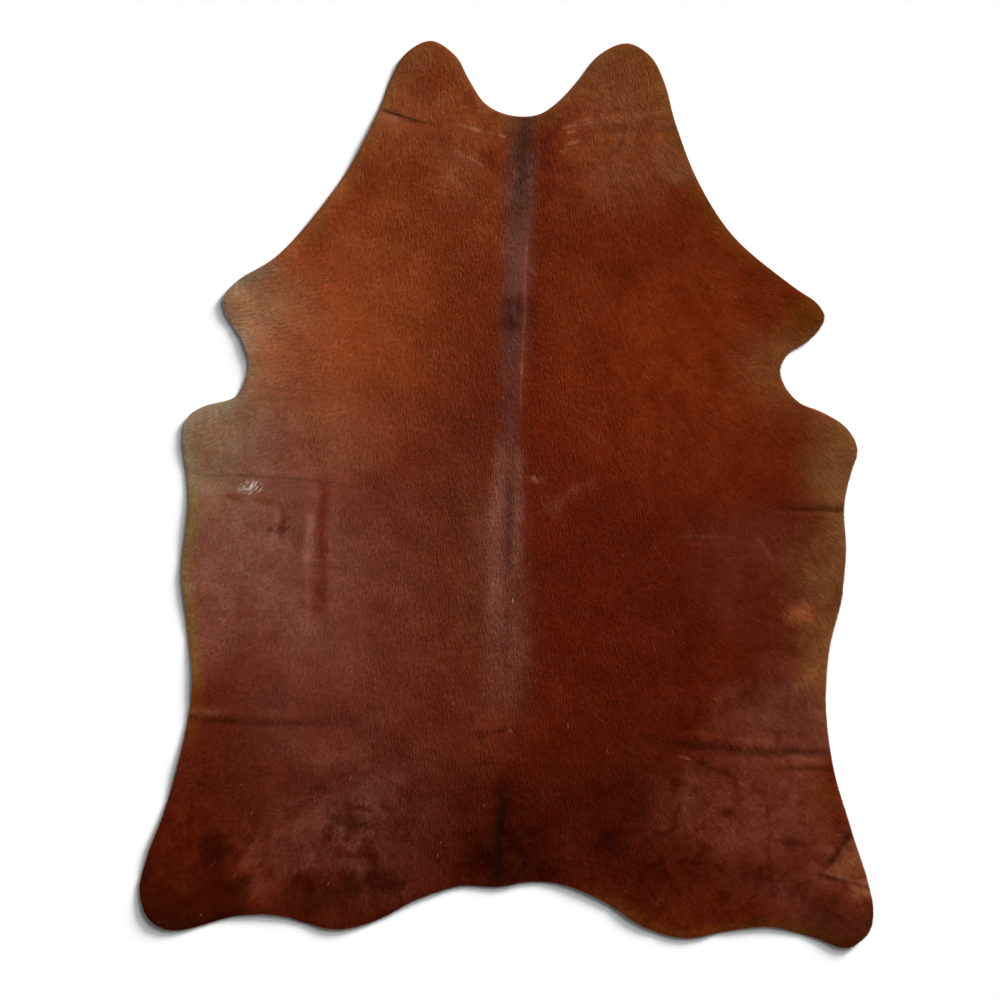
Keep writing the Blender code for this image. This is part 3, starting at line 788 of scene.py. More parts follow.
@dataclass(frozen=True)
class Relief:
    """How the sheet stands off the floor: its folds, lifted edges and slow waves."""

    wave_height: float = 0.9 * MM
    wave_reach: float = 210 * MM
    line_step: float = 20 * MM
    fold_taper: float = 1 / 3
    crease_taper: float = 1 / 4
    uneven_share: float = 0.22
    uneven_reach: float = 75 * MM
    seed: int = 5

    def lift(self, points: np.ndarray) -> np.ndarray:
        """Give how far the flesh side stands off the floor.

        Args:
            points: The places.

        Returns:
            The height at each place, in metres.
        """
        height = np.zeros(len(points))
        uneven = 1.0 + self.uneven_share * drift(points, self.uneven_reach, self.seed + 1)
        for fold in FOLDS:
            reach = max(fold.left, fold.right) * MM
            found, distance, side, share = measure_to(fold.path, self.line_step, points, reach)
            reach = np.where(side > 0, fold.left, fold.right) * MM
            rise = fold.height * taper(share, self.fold_taper) * uneven[found]
            height[found] = np.maximum(height[found], rise * smooth(1.0 - distance / reach))
        for curl in CURLS:
            away = np.linalg.norm(points - np.array([curl.x, curl.y]) * MM, axis=1)
            height = np.maximum(height, curl.height * smooth(1.0 - away / (curl.reach * MM)))
        waves = np.clip(drift(points, self.wave_reach, self.seed), 0.0, 1.0)
        return height * MM + self.wave_height * waves

    def press(self, points: np.ndarray) -> np.ndarray:
        """Give how far the fine creases raise the coat side.

        Args:
            points: The places.

        Returns:
            The change in height at each place, in metres.
        """
        height = np.zeros(len(points))
        for crease in CREASES:
            reach = crease.reach * MM
            found, distance, _, share = measure_to(crease.path, self.line_step, points, reach)
            rise = crease.height * taper(share, self.crease_taper)
            height[found] += rise * smooth(1.0 - distance / reach)
        return height * MM

    def is_worked(self, points: np.ndarray, margin: float) -> np.ndarray:
        """Tell which places lie on a fold or a crease, and need finer faces.

        Args:
            points: The places.
            margin: How far past a fold's or crease's foot still counts.

        Returns:
            True or false for each place.
        """
        worked = np.zeros(len(points), bool)
        for line in FOLDS + CREASES:
            reach = max(line.left, line.right) if isinstance(line, Fold) else line.reach
            reach = reach * MM + margin
            found, distance, _, _ = measure_to(line.path, self.line_step, points, reach)
            worked[found] |= distance < reach
        return worked


@dataclass(frozen=True)
class CoatTones:
    """The coat's colour at each place: broad fields of tone, lines, rim and speckles. Some of
    the lines are painted shade at the feet of folds and in creases and dents, or painted
    highlights on crests and lips, and some of the fields are partly painted sheen.

    warps holds the reach and size, in millimetres, of the wanderings that push the fields'
    edges about. Small fields take the finer ones alone.
    """

    rim_reach: float = 50 * MM
    rim_firm: float = 2.0
    line_step: float = 12 * MM
    line_taper: float = 1 / 4
    fine_reach: float = 13
    warps: tuple[tuple[float, float], ...] = ((260, 24), (80, 6), (30, 5), (14, 3.5))
    small_bloom: float = 90
    small_firm: float = 2.4
    wander_share: float = 0.22
    wander_limit: float = 3.5 * MM
    wander_reach: float = 45 * MM
    dash_reach: float = 17 * MM
    dash_share: float = 0.5
    speckle_strength: float = 0.9
    tip_start: float = 0.9
    warp_seed: int = 11
    wander_seed: int = 19
    dash_seed: int = 20

    def warped(self, points: np.ndarray, first: int) -> np.ndarray:
        """Push places about a little, so that no field of tone has an even edge.

        Args:
            points: The places.
            first: The first warp that counts, the later ones being finer.

        Returns:
            The moved places.
        """
        moved = points.copy()
        for k, (reach, size) in list(enumerate(self.warps))[first:]:
            for axis in range(2):
                seed = self.warp_seed + 2 * k + axis
                moved[:, axis] += size * MM * drift(points, reach * MM, seed)
        return moved

    def at(
        self, points: np.ndarray, room: np.ndarray, chance: np.ndarray, along: np.ndarray
    ) -> tuple[np.ndarray, np.ndarray]:
        """Give the coat's colour and how strongly it is mottled.

        Args:
            points: The places.
            room: How far each place lies inside the rim.
            chance: A random number from 0 to 1 for each place.
            along: How far along its lock each place lies, from 0 to 1.

        Returns:
            Linear red, green and blue, one row a place; and a share from 0 to 1 at each.
        """
        colour = np.tile(linear(Tone.GARNET.value), (len(points), 1))

        def blend(tone: Tone, found: np.ndarray, share: np.ndarray) -> None:
            """Turn the colour to a tone, by a share at each of the found places."""
            colour[found] += (np.array(linear(tone.value)) - colour[found]) * share[:, None]

        broad, fine = self.warped(points, 0), self.warped(points, 1)
        for bloom in BLOOMS:
            small = max(bloom.across, bloom.along) < self.small_bloom
            found, depth = in_oval(fine if small else broad, bloom, bloom.turn)
            firm = self.small_firm if small else 1.0
            blend(bloom.tone, found, bloom.strength * smooth(depth * firm))
        rim = smooth(1.0 - room / self.rim_reach)
        for tint in RIM_TINTS:
            found, depth = in_oval(broad, tint)
            blend(tint.tone, found, tint.strength * rim[found] * smooth(self.rim_firm * depth))
        wander = drift(points, self.wander_reach, self.wander_seed)
        dash = smooth(self.dash_share + drift(points, self.dash_reach, self.dash_seed))
        for streak in STREAKS:
            reach = streak.reach * MM
            swing = min(self.wander_share * reach, self.wander_limit)
            found, distance, _, share = measure_to(
                streak.path, self.line_step, points, reach + 2.0 * swing
            )
            whole = taper(share, self.line_taper) * (1.0 - streak.broken * (1.0 - dash[found]))
            body = smooth(1.0 - (distance + swing * wander[found]) / reach)
            blend(streak.tone, found, streak.strength * whole * body)
        for speckle in SPECKLES:
            found, _ = in_oval(points, speckle)
            chosen = chance[found] < speckle.share
            if speckle.tips:
                chosen &= along[found] > self.tip_start
            found = found[chosen]
            blend(speckle.tone, found, np.full(len(found), self.speckle_strength))
        mottle = np.zeros(len(points))
        for spot in MOTTLES:
            found, depth = in_oval(broad, spot)
            mottle[found] = np.maximum(mottle[found], spot.strength * smooth(depth))
        return colour, mottle

    def line_gap(self, points: np.ndarray, reach: float) -> np.ndarray:
        """Give how far each place lies from the nearest fine line.

        Args:
            points: The places.
            reach: The distance past which it doesn't matter.

        Returns:
            The distance, at most the reach.
        """
        gap = np.full(len(points), reach)
        for streak in STREAKS:
            if streak.reach < self.fine_reach:
                found, distance, _, _ = measure_to(streak.path, self.line_step, points, reach)
                gap[found] = np.minimum(gap[found], distance)
        return gap


@dataclass(frozen=True)
class HairFlow:
    """The way that the coat lies: down the spine, and out and down over the flanks."""

    spine: float = 60 * MM
    spread: float = 600 * MM
    outward: float = 0.9
    leg_pull: float = 0.9
    leg_line: float = 400 * MM
    leg_reach: float = 330 * MM
    whorl: tuple[float, float] = (13 * MM, 460 * MM)
    whorl_reach: float = 60 * MM
    whorl_turn: float = 1.6
    wander: float = 0.22
    wander_reach: float = 120 * MM
    seed: int = 23

    def at(self, points: np.ndarray) -> np.ndarray:
        """Give the direction in which the hair points.

        Args:
            points: The places.

        Returns:
            A level direction of length one at each place, in three numbers.
        """
        x, y = points.T
        out = np.sign(x) * smooth((np.abs(x) - self.spine) / self.spread)
        legs = smooth(1.0 - np.abs(y - self.leg_line) / self.leg_reach)
        way = np.stack([out * (self.outward + self.leg_pull * legs), -np.ones(len(points))], axis=1)
        offset = points - np.array(self.whorl)
        near = np.exp(-(offset**2).sum(axis=1) / self.whorl_reach**2)
        turned = np.stack([-offset[:, 1], offset[:, 0]], axis=1) / self.whorl_reach
        way += self.whorl_turn * near[:, None] * turned
        swing = self.wander * drift(points, self.wander_reach, self.seed)
        way += np.stack([-way[:, 1], way[:, 0]], axis=1) * swing[:, None]
        way /= np.linalg.norm(way, axis=1)[:, None]
        return np.column_stack([way, np.zeros(len(points))])


# ---------------------------------------------------------------- finishes


class Paint:
    """A material in the making, with the few nodes that most finishes need."""

    def __init__(self, name: str) -> None:
        """Start a material.

        Args:
            name: What the material is.
        """
        self.material = bpy.data.materials.new(name)
        self.material.use_nodes = True
        self.tree = self.material.node_tree
        self.shader = self.tree.nodes["Principled BSDF"]
        self.place = self.add("ShaderNodeTexCoord").outputs["Object"]

    def add(self, kind: str, feeds: dict | None = None, **settings: object) -> Node:
        """Add a node to the material, as add_node does."""
        return add_node(self.tree, kind, feeds, **settings)

    def kept(self, name: str, part: str = "Fac") -> NodeSocket:
        """Read a value, or a Color, that the mesh keeps on its points."""
        return self.add("ShaderNodeAttribute", attribute_name=name).outputs[part]

    def noise(self, size_mm: float, detail: float, curl: float = 0.0) -> NodeSocket:
        """Wander between 0 and 1 over features of a real size.

        Args:
            size_mm: The features' size, in millimetres.
            detail: How many finer wanderings it has in it.
            curl: How far it is twisted out of shape.

        Returns:
            The wandering value.
        """
        scale = 1.0 / (size_mm * MM)
        feeds = {"Vector": self.place, "Scale": scale, "Detail": detail, "Distortion": curl}
        return self.add("ShaderNodeTexNoise", feeds).outputs["Fac"]

    def spread(
        self, source: NodeSocket, span: tuple[float, float], start: float, end: float
    ) -> NodeSocket:
        """Map a value that goes over a span to one that goes from a start to an end."""
        feeds = {"From Min": span[0], "From Max": span[1], "To Min": start, "To Max": end}
        return self.add("ShaderNodeMapRange", {"Value": source, **feeds}).outputs["Result"]

    def mix(self, share: NodeSocket, first: Colour, second: Colour) -> NodeSocket:
        """Mix two colours by a share."""
        feeds = {"Factor": share, "A": (*first, 1.0), "B": (*second, 1.0)}
        return self.add("ShaderNodeMix", feeds, data_type="RGBA").outputs["Result"]

    def finish(
        self,
        colour: NodeSocket,
        roughness: float,
        bump: tuple[NodeSocket, float] | None = None,
        glint: tuple[float, str] | None = None,
    ) -> Material:
        """Feed the shader.

        Args:
            colour: The base colour.
            roughness: How matt it is.
            bump: The height that the light sees, and how deep it is, in metres.
            glint: How strongly it glints, and in which colour, given as hex.

        Returns:
            The finished material.
        """
        self.tree.links.new(colour, self.shader.inputs["Base Color"])
        self.shader.inputs["Roughness"].default_value = roughness
        if bump:
            node = self.add("ShaderNodeBump", {"Height": bump[0], "Distance": bump[1]})
            self.tree.links.new(node.outputs["Normal"], self.shader.inputs["Normal"])
        if glint:
            self.shader.inputs["Specular IOR Level"].default_value = glint[0]
            self.shader.inputs["Specular Tint"].default_value = (*linear(glint[1]), 1.0)
        return self.material


@dataclass(frozen=True)
class CoatHair:
    """Short cow hair, dyed and brushed flat.

    Each lock is darker at the root, a painted shade where it lies under the other locks,
    and a little paler at the tip. Each lock takes the dye a little differently, and it
    clouds over the hide. Where the coat is darker it is redder too, and where it is paler
    it is greyer, a painted sheen as of light off the hair. The cuticle adds a soft satin
    glint.
    """

    roughness: float = 0.5
    glint: tuple[float, str] = (0.12, "#D9764A")
    level: Colour = (1.18, 1.185, 1.065)
    deepening: Colour = (1.0, 1.85, 2.4)
    root_shade: float = 0.93
    tip_shade: float = 1.05
    lock_swing: float = 0.07
    fleck_mm: float = 6.0
    fleck_detail: float = 2.0
    fleck_span: tuple[float, float] = (0.3, 0.7)
    fleck_swing: float = 0.05
    cloud_mm: float = 26.0
    cloud_detail: float = 3.0
    cloud_span: tuple[float, float] = (0.25, 0.75)
    cloud_swing: float = 0.2
    bank_mm: float = 95.0
    bank_detail: float = 4.0
    bank_swing: float = 0.36
    calm: float = 0.35
    patch_mm: float = 44.0
    patch_detail: float = 5.0
    patch_span: tuple[float, float] = (0.5, 0.63)
    patch_depth: float = 0.36
    patch_curl: float = 0.8

    def material(self) -> Material:
        """Build the coat's material.

        Returns:
            The material, which reads tone, mottle, along and chance from the coat.
        """
        paint = Paint("dyed_cow_hair")

        def reckon(operation: str, *values: object) -> NodeSocket:
            """Put numbers together."""
            feeds = dict(enumerate(values))
            return paint.add("ShaderNodeMath", feeds, operation=operation).outputs[0]

        def swing(source: NodeSocket, span: tuple[float, float], size: float) -> NodeSocket:
            """Turn a wandering value to a swing around nought."""
            return paint.spread(source, span, -size, size)

        whole = (0.0, 1.0)
        mottle = paint.kept("mottle")
        unrest = paint.spread(mottle, whole, self.calm, 1.0)
        bank = swing(paint.noise(self.bank_mm, self.bank_detail), self.cloud_span, self.bank_swing)
        cloud = paint.noise(self.cloud_mm, self.cloud_detail, self.patch_curl)
        cloud = swing(cloud, self.cloud_span, self.cloud_swing)
        patch = paint.noise(self.patch_mm, self.patch_detail, self.patch_curl)
        patch = paint.spread(patch, self.patch_span, 0.0, 1.0)
        fleck = paint.noise(self.fleck_mm, self.fleck_detail)
        # Darker at the root of each lock, a painted shade where it lies under the others, and paler at the
        # tip.
        shade = paint.spread(paint.kept("along"), whole, self.root_shade, self.tip_shade)
        for part in (
            swing(paint.kept("chance"), whole, self.lock_swing),
            swing(fleck, self.fleck_span, self.fleck_swing),
            reckon("MULTIPLY", unrest, cloud),
            reckon("MULTIPLY", unrest, bank),
            reckon("MULTIPLY", patch, reckon("MULTIPLY", mottle, -self.patch_depth)),
        ):
            shade = reckon("MULTIPLY_ADD", shade, part, shade)
        # Paler places turn greyer, a painted sheen as of light off the hair, and darker ones redder.
        depths = {
            name: reckon("MULTIPLY", reckon("POWER", shade, power), level)
            for name, power, level in zip("XYZ", self.deepening, self.level)
        }
        feeds = {0: paint.kept("tone", "Color"), 1: paint.add("ShaderNodeCombineXYZ", depths)}
        colour = paint.add("ShaderNodeVectorMath", feeds, operation="MULTIPLY").outputs[0]
        return paint.finish(colour, self.roughness, glint=self.glint)


@dataclass(frozen=True)
class CoatSkin:
    """The grain side of the leather under the coat: matt and pored, in the coat's tone but
    darker, a painted shade for the gaps between the locks, and darker still in its pores.
    """

    roughness: float = 0.75
    glint: tuple[float, str] = (0.08, "#D9764A")
    shade: float = 1.05
    pore_shade: float = 0.735
    pore_mm: float = 2.2
    pore_detail: float = 2.0
    pore_span: tuple[float, float] = (0.3, 0.7)
    pore_depth: float = 0.25 * MM

    def material(self) -> Material:
        """Build the skin's material.

        Returns:
            The material, which reads tone from the sheet.
        """
        paint = Paint("dyed_grain_leather")
        pores = paint.noise(self.pore_mm, self.pore_detail)
        # Darker than the coat, a painted shade for the gaps between the locks.
        depth = paint.spread(pores, self.pore_span, self.pore_shade, self.shade)
        feeds = {"Vector": paint.kept("tone", "Color"), "Scale": depth}
        colour = paint.add("ShaderNodeVectorMath", feeds, operation="SCALE").outputs[0]
        return paint.finish(colour, self.roughness, (pores, self.pore_depth), self.glint)


@dataclass(frozen=True)
class RawLeather:
    """Leather without its grain: two tones in soft clouds, with a fine nap or fibre."""

    name: str
    main: str
    second: str
    roughness: float
    cloud_mm: float
    cloud_detail: float
    nap_mm: float
    nap_detail: float
    nap_depth: float

    def material(self) -> Material:
        """Build the raw leather's material.

        Returns:
            The material.
        """
        paint = Paint(self.name)
        clouds = paint.noise(self.cloud_mm, self.cloud_detail)
        colour = paint.mix(clouds, linear(self.main), linear(self.second))
        nap = paint.noise(self.nap_mm, self.nap_detail)
        return paint.finish(colour, self.roughness, (nap, self.nap_depth))


# The flesh side, buffed to a short pale nap with darker drum marks in it.
SUEDE_BACK = RawLeather(
    name="suede_flesh_side",
    main="#C2A684",
    second="#A3845F",
    roughness=0.92,
    cloud_mm=70.0,
    cloud_detail=6.0,
    nap_mm=1.2,
    nap_detail=2.0,
    nap_depth=0.3 * MM,
)

# The trimmed edge: raw fibre, browner where the dye has run in.
CUT_EDGE = RawLeather(
    name="cut_leather_edge",
    main="#94704C",
    second="#4A2416",
    roughness=0.88,
    cloud_mm=24.0,
    cloud_detail=4.0,
    nap_mm=1.6,
    nap_detail=3.0,
    nap_depth=0.2 * MM,
)


# ---------------------------------------------------------------- the leather sheet


@dataclass
class HideSheet:
    """The leather itself, cut to the frame's outline and lying on its folds.

    foot_slope and wall_slope tell the frame's underside from its edge, by how far a
    face looks up or down. coat_gap and flesh_gap are how many fold steps lie between two
    points in the open, on either side of the leather.
    """

    node: Object
    relief: Relief
    tones: CoatTones
    spine_leather: float = 3.0 * MM
    belly_leather: float = 2.3 * MM
    belly_reach: float = 750 * MM
    edge_round: float = 0.6 * MM
    rim_step: float = 6 * MM
    rim_clear: float = 4.2 * MM
    gauge_step: float = 1.5 * MM
    fold_step: float = 6 * MM
    fold_margin: float = 6 * MM
    coat_gap: int = 3
    flesh_gap: int = 4
    foot_slope: float = -0.7
    wall_slope: float = 0.3
    weld: float = 1e-5
    merge: float = 1e-8
    jitter: float = 0.18
    seed: int = 3
    rim: np.ndarray = field(init=False)
    gauge: KDTree = field(init=False)

    def __post_init__(self) -> None:
        """Read the outline, and keep it for measuring how far inside a place lies."""
        self.rim = spline_line(self.cut_line(), self.rim_step, closed=True)
        dense = spline_line(self.rim, self.gauge_step, closed=True)
        self.gauge = KDTree(len(dense))
        for k, point in enumerate(dense):
            self.gauge.insert((*point, 0.0), k)
        self.gauge.balance()

    def cut_line(self) -> np.ndarray:
        """Read where the frame's hide is cut, at its foot.

        Returns:
            The cut line's points, clockwise seen from above.
        """
        bm = bmesh.new()
        bm.from_mesh(self.node.data)
        bmesh.ops.remove_doubles(bm, verts=bm.verts[:], dist=self.weld)
        bm.normal_update()
        ahead = {}
        for face in bm.faces:
            if face.normal.z < self.foot_slope:
                for loop in face.loops:
                    if abs(loop.link_loop_radial_next.face.normal.z) < self.wall_slope:
                        ahead[loop.vert] = loop.link_loop_next.vert
        line = [next(iter(ahead))]
        while ahead[line[-1]] is not line[0]:
            line.append(ahead[line[-1]])
        points = np.array([vert.co.xy for vert in line])
        bm.free()
        return points

    def room(self, points: np.ndarray) -> np.ndarray:
        """Give how far inside the rim each place lies, in metres."""
        return np.array([self.gauge.find((*point, 0.0))[2] for point in points])

    def is_inside(self, points: np.ndarray) -> np.ndarray:
        """Tell which places lie inside the outline.

        Args:
            points: The places.

        Returns:
            True or false for each place.
        """
        inside = np.zeros(len(points), bool)
        x, y = points.T
        for a, b in zip(self.rim, np.roll(self.rim, -1, axis=0)):
            if a[1] != b[1]:
                crossing = a[0] + (y - a[1]) * (b[0] - a[0]) / (b[1] - a[1])
                inside ^= ((a[1] > y) != (b[1] > y)) & (x < crossing)
        return inside

    def area(self) -> float:
        """Give the area inside the outline, in square metres."""
        pairs = zip(self.rim, np.roll(self.rim, -1, axis=0))
        return abs(sum(a[0] * b[1] - b[0] * a[1] for a, b in pairs)) / 2

    def inset(self) -> np.ndarray:
        """Give the line where the rounding of the edge ends, inside the rim.

        Returns:
            As many points as the rim has.
        """
        way = np.roll(self.rim, -1, axis=0) - np.roll(self.rim, 1, axis=0)
        way /= np.linalg.norm(way, axis=1)[:, None]
        return self.rim + self.edge_round * np.stack([way[:, 1], -way[:, 0]], axis=1)

    def field_points(self, gap: int) -> np.ndarray:
        """Spread points over the hide, closer together on the folds.

        Args:
            gap: How many fold steps lie between two points in the open.

        Returns:
            The points, each a little off its even place.
        """
        rng = np.random.default_rng(self.seed + gap)
        low, high = self.rim.min(0), self.rim.max(0)
        rise = self.fold_step * TRIANGLE_RISE
        rows, columns = np.ceil((high - low)[::-1] / (rise, self.fold_step)).astype(int)
        row, column = (part.ravel() for part in np.mgrid[0:rows, 0:columns])
        aside = (column + row % (2 * gap) / 2) * self.fold_step
        places = low + np.stack([aside, row * rise], axis=1)
        worked = self.relief.is_worked(places, self.fold_margin)
        kept = worked | ((row % gap == 0) & (column % gap == 0))
        places, worked = places[kept], worked[kept]
        step = np.where(worked, 1, gap) * self.fold_step
        places += rng.uniform(-self.jitter, self.jitter, places.shape) * step[:, None]
        places = places[self.is_inside(places)]
        return places[self.room(places) > self.rim_clear]

    def surface(self, gap: int) -> tuple[np.ndarray, list[tuple[int, ...]]]:
        """Fill the inside of the edge with triangles.

        Args:
            gap: How many fold steps lie between two points in the open.

        Returns:
            The surface's points, of which the edge's come first, and its triangles,
            which face up.
        """
        loop = self.inset()
        points = np.concatenate([loop, self.field_points(gap)])
        edges = [(k, (k + 1) % len(loop)) for k in range(len(loop))]
        vectors = [Vector(point) for point in points]
        flat, _, faces, origins, _, _ = delaunay_2d_cdt(vectors, edges, [], 1, self.merge)
        if len(flat) != len(points):
            raise ValueError("two points of the sheet fall together")
        return points, [tuple(origins[k][0] for k in face) for face in faces]

    def leather(self, points: np.ndarray) -> np.ndarray:
        """Give the leather's thickness, less out on the flanks."""
        flank = smooth(np.abs(points[:, 0]) / self.belly_reach)
        return self.spine_leather + (self.belly_leather - self.spine_leather) * flank

    def lay(self, flat: np.ndarray, above: np.ndarray) -> np.ndarray:
        """Raise flat places to the sheet's lift and a height above it."""
        return np.column_stack([flat, self.relief.lift(flat) + above])

    def coat_side(self, flat: np.ndarray) -> np.ndarray:
        """Raise flat places to the leather's coat side."""
        return self.lay(flat, self.leather(flat) + self.relief.press(flat))

    def build(self) -> Object:
        """Build the sheet: coat side, rounded cut edge and flesh side.

        Returns:
            The finished piece.
        """
        count = len(self.rim)
        coat_flat, coat_faces = self.surface(self.coat_gap)
        flesh_flat, flesh_faces = self.surface(self.flesh_gap)
        parts = (
            self.coat_side(coat_flat),
            self.lay(flesh_flat, np.zeros(len(flesh_flat))),
            self.lay(self.rim, self.leather(self.rim) - self.edge_round),
            self.lay(self.rim, np.full(count, self.edge_round)),
        )
        points = np.concatenate(parts)
        coat, flesh, upper, lower = (int(k) for k in np.cumsum([0, *map(len, parts[:-1])]))
        faces = coat_faces + [tuple(flesh + k for k in reversed(face)) for face in flesh_faces]
        for top, bottom in ((coat, upper), (upper, lower), (lower, flesh)):
            for k in range(count):
                after = (k + 1) % count
                faces.append((top + k, top + after, bottom + after, bottom + k))
        mesh = bpy.data.meshes.new("hide_sheet")
        mesh.from_pydata(points.tolist(), [], faces)
        sides = np.repeat([0, 1, 2], [len(coat_faces), len(flesh_faces), 3 * count])
        for finish in (CoatSkin(), SUEDE_BACK, CUT_EDGE):
            mesh.materials.append(finish.material())
        mesh.polygons.foreach_set("material_index", sides.astype(np.int32))
        mesh.shade_smooth()
        flat = points[:, :2]
        whole = np.ones(len(flat))
        write_tone(mesh, self.tones.at(flat, self.room(flat), whole, whole)[0])
        mesh.validate()
        return link_object("hide_sheet", mesh)


# ---------------------------------------------------------------- the coat


class Region(Enum):
    """The stretches that the coat is grown in, each about a fifth of the hide."""

    NECK = "neck"
    LEFT_BARREL = "left_barrel"
    RIGHT_BARREL = "right_barrel"
    LEFT_RUMP = "left_rump"
    RIGHT_RUMP = "right_rump"

    def covers(self, places: np.ndarray) -> np.ndarray:
        """Tell which places lie in this stretch.

        Args:
            places: The places.

        Returns:
            True or false for each place.
        """
        shoulder, loin = 433 * MM, -317 * MM
        x, y = places[:, 0], places[:, 1]
        if self is Region.NECK:
            return y >= shoulder
        side = x < 0.0 if self in (Region.LEFT_BARREL, Region.LEFT_RUMP) else x >= 0.0
        if self in (Region.LEFT_BARREL, Region.RIGHT_BARREL):
            return side & (y < shoulder) & (y >= loin)
        return side & (y < loin)


@dataclass
class Coat:
    """The short coat: small locks of hair, rooted in the sheet and lying along its flow.

    A real hair is too fine to show, so each lock stands for a wisp of hairs, as wide as
    the strokes that show on the hide. Shorter locks stand closer, by crowding, and are
    narrower, by thinning. waist and arch place the lock's side points, as shares of its
    length and of its rise.
    """

    sheet: HideSheet
    flow: HairFlow
    tones: CoatTones
    locks: float = 136_000
    width: float = 1.6 * MM
    length: float = 19 * MM
    rise: float = 0.6 * MM
    sink: float = 0.2 * MM
    waist: float = 0.42
    arch: float = 0.34
    overhang: float = 1.2 * MM
    shortest: float = 0.2
    line_size: float = 0.25
    length_span: tuple[float, float] = (0.8, 1.2)
    crowding: float = -0.9
    thinning: float = 0.4
    clearance: float = 0.12 * MM
    yaw: float = math.radians(11)
    roll: float = math.radians(4)
    pitch: float = math.radians(4)
    quick_share: float = 0.3
    quick_widening: float = 0.6
    seed_gap: int = 10

    def lock(self) -> Object:
        """Make one lock of hair, of length one along +Y: a blade with a raised middle line.

        Returns:
            The lock, which keeps on each point how far along it lies.
        """
        mesh = bpy.data.meshes.new("lock")
        sides = [(side, self.waist, self.arch) for side in (0.5, -0.5)]
        points = [(0.0, 0.0, 0.0), sides[0], (0.0, 1.0, 1.0), sides[1]]
        mesh.from_pydata(points, [], [(0, 1, 2), (0, 2, 3)])
        mesh.shade_smooth()
        write_values(mesh, "along", "FLOAT", np.array(points)[:, 1])
        return link_object("lock", mesh)

    def growth_tree(self) -> tuple[NodeTree, dict[str, str]]:
        """Build the node tree that grows locks on a ground.

        Returns:
            The tree, and the identifier of each of its inputs by name.
        """
        tree = bpy.data.node_groups.new("hair_growth", "GeometryNodeTree")
        sockets = {"Ground": "Geometry", "Lock": "Object", "Finish": "Material", "Seed": "Int"}
        sizes = ("Locks per Square Metre", "Width", "Length", "Rise", "Sink", "Yaw", "Roll", "Pitch")
        sockets.update(dict.fromkeys(sizes, "Float"))
        new_socket = tree.interface.new_socket
        named = {
            name: new_socket(name, in_out="INPUT", socket_type=f"NodeSocket{kind}").identifier
            for name, kind in sockets.items()
        }
        new_socket("Coat", in_out="OUTPUT", socket_type="NodeSocketGeometry")

        def add(kind: str, feeds: dict | None = None, **settings: object) -> Node:
            """Add a node to the tree, as add_node does."""
            return add_node(tree, kind, feeds, **settings)

        def kept(name: str, kind: str) -> Node:
            """Read a value that the ground keeps."""
            return add("GeometryNodeInputNamedAttribute", {"Name": name}, data_type=kind)

        def reckon(operation: str, first: object, second: object) -> Node:
            """Put two numbers together."""
            return add("ShaderNodeMath", {0: first, 1: second}, operation=operation)

        def triple(**parts: object) -> Node:
            """Put three numbers in a row."""
            return add("ShaderNodeCombineXYZ", parts)

        def chance(low: object, high: object, offset: int) -> Node:
            """Draw a number for each lock, from a seed of its own."""
            feeds = {"Min": low, "Max": high, "Seed": reckon("ADD", given["Seed"], float(offset))}
            return add("FunctionNodeRandomValue", feeds, data_type="FLOAT")

        def swing(limit: NodeSocket, offset: int) -> Node:
            """Draw an angle either way, up to a limit."""
            return chance(reckon("MULTIPLY", limit, -1.0), limit, offset)

        given = add("NodeGroupInput").outputs
        density = reckon("MULTIPLY", given["Locks per Square Metre"], kept("thicken", "FLOAT"))
        spread = add(
            "GeometryNodeDistributePointsOnFaces",
            {"Mesh": given["Ground"], "Density": density, "Seed": given["Seed"]},
            distribute_method="RANDOM",
        )
        points = spread.outputs["Points"]
        for name, value, kind in (
            ("root", add("GeometryNodeInputPosition"), "FLOAT_VECTOR"),
            ("chance", chance(0.0, 1.0, 1), "FLOAT"),
        ):
            feeds = {"Geometry": points, "Name": name, "Value": value}
            points = add("GeometryNodeStoreNamedAttribute", feeds, data_type=kind, domain="POINT")
        flat = add(
            "FunctionNodeAlignRotationToVector",
            {"Rotation": spread.outputs["Rotation"], "Vector": kept("lay", "FLOAT_VECTOR")},
            axis="Y",
            pivot_axis="Z",
        )
        angles = triple(
            X=chance(0.0, given["Pitch"], 2), Y=swing(given["Roll"], 3), Z=swing(given["Yaw"], 4)
        )
        turn = add("FunctionNodeEulerToRotation", {"Euler": angles})
        feeds = {"Rotation": flat, "Rotate By": turn}
        rotation = add("FunctionNodeRotateRotation", feeds, rotation_space="LOCAL")
        size = kept("size", "FLOAT")
        growth = reckon("MULTIPLY", size, chance(*self.length_span, 5))
        scale = triple(
            X=reckon("MULTIPLY", given["Width"], reckon("POWER", size, self.thinning)),
            Y=reckon("MULTIPLY", given["Length"], growth),
            Z=reckon("MULTIPLY", given["Rise"], growth),
        )
        shape = add("GeometryNodeObjectInfo", {"Object": given["Lock"]}).outputs["Geometry"]
        feeds = {"Points": points, "Instance": shape, "Rotation": rotation, "Scale": scale}
        coat = add("GeometryNodeInstanceOnPoints", feeds)
        down = triple(Z=reckon("MULTIPLY", given["Sink"], -1.0))
        feeds = {"Instances": coat, "Translation": down, "Local Space": False}
        coat = add("GeometryNodeTranslateInstances", feeds)
        coat = add("GeometryNodeRealizeInstances", {"Geometry": coat})
        coat = add("GeometryNodeSetMaterial", {"Geometry": coat, "Material": given["Finish"]})
        add("NodeGroupOutput", {"Coat": coat})
        return tree, named

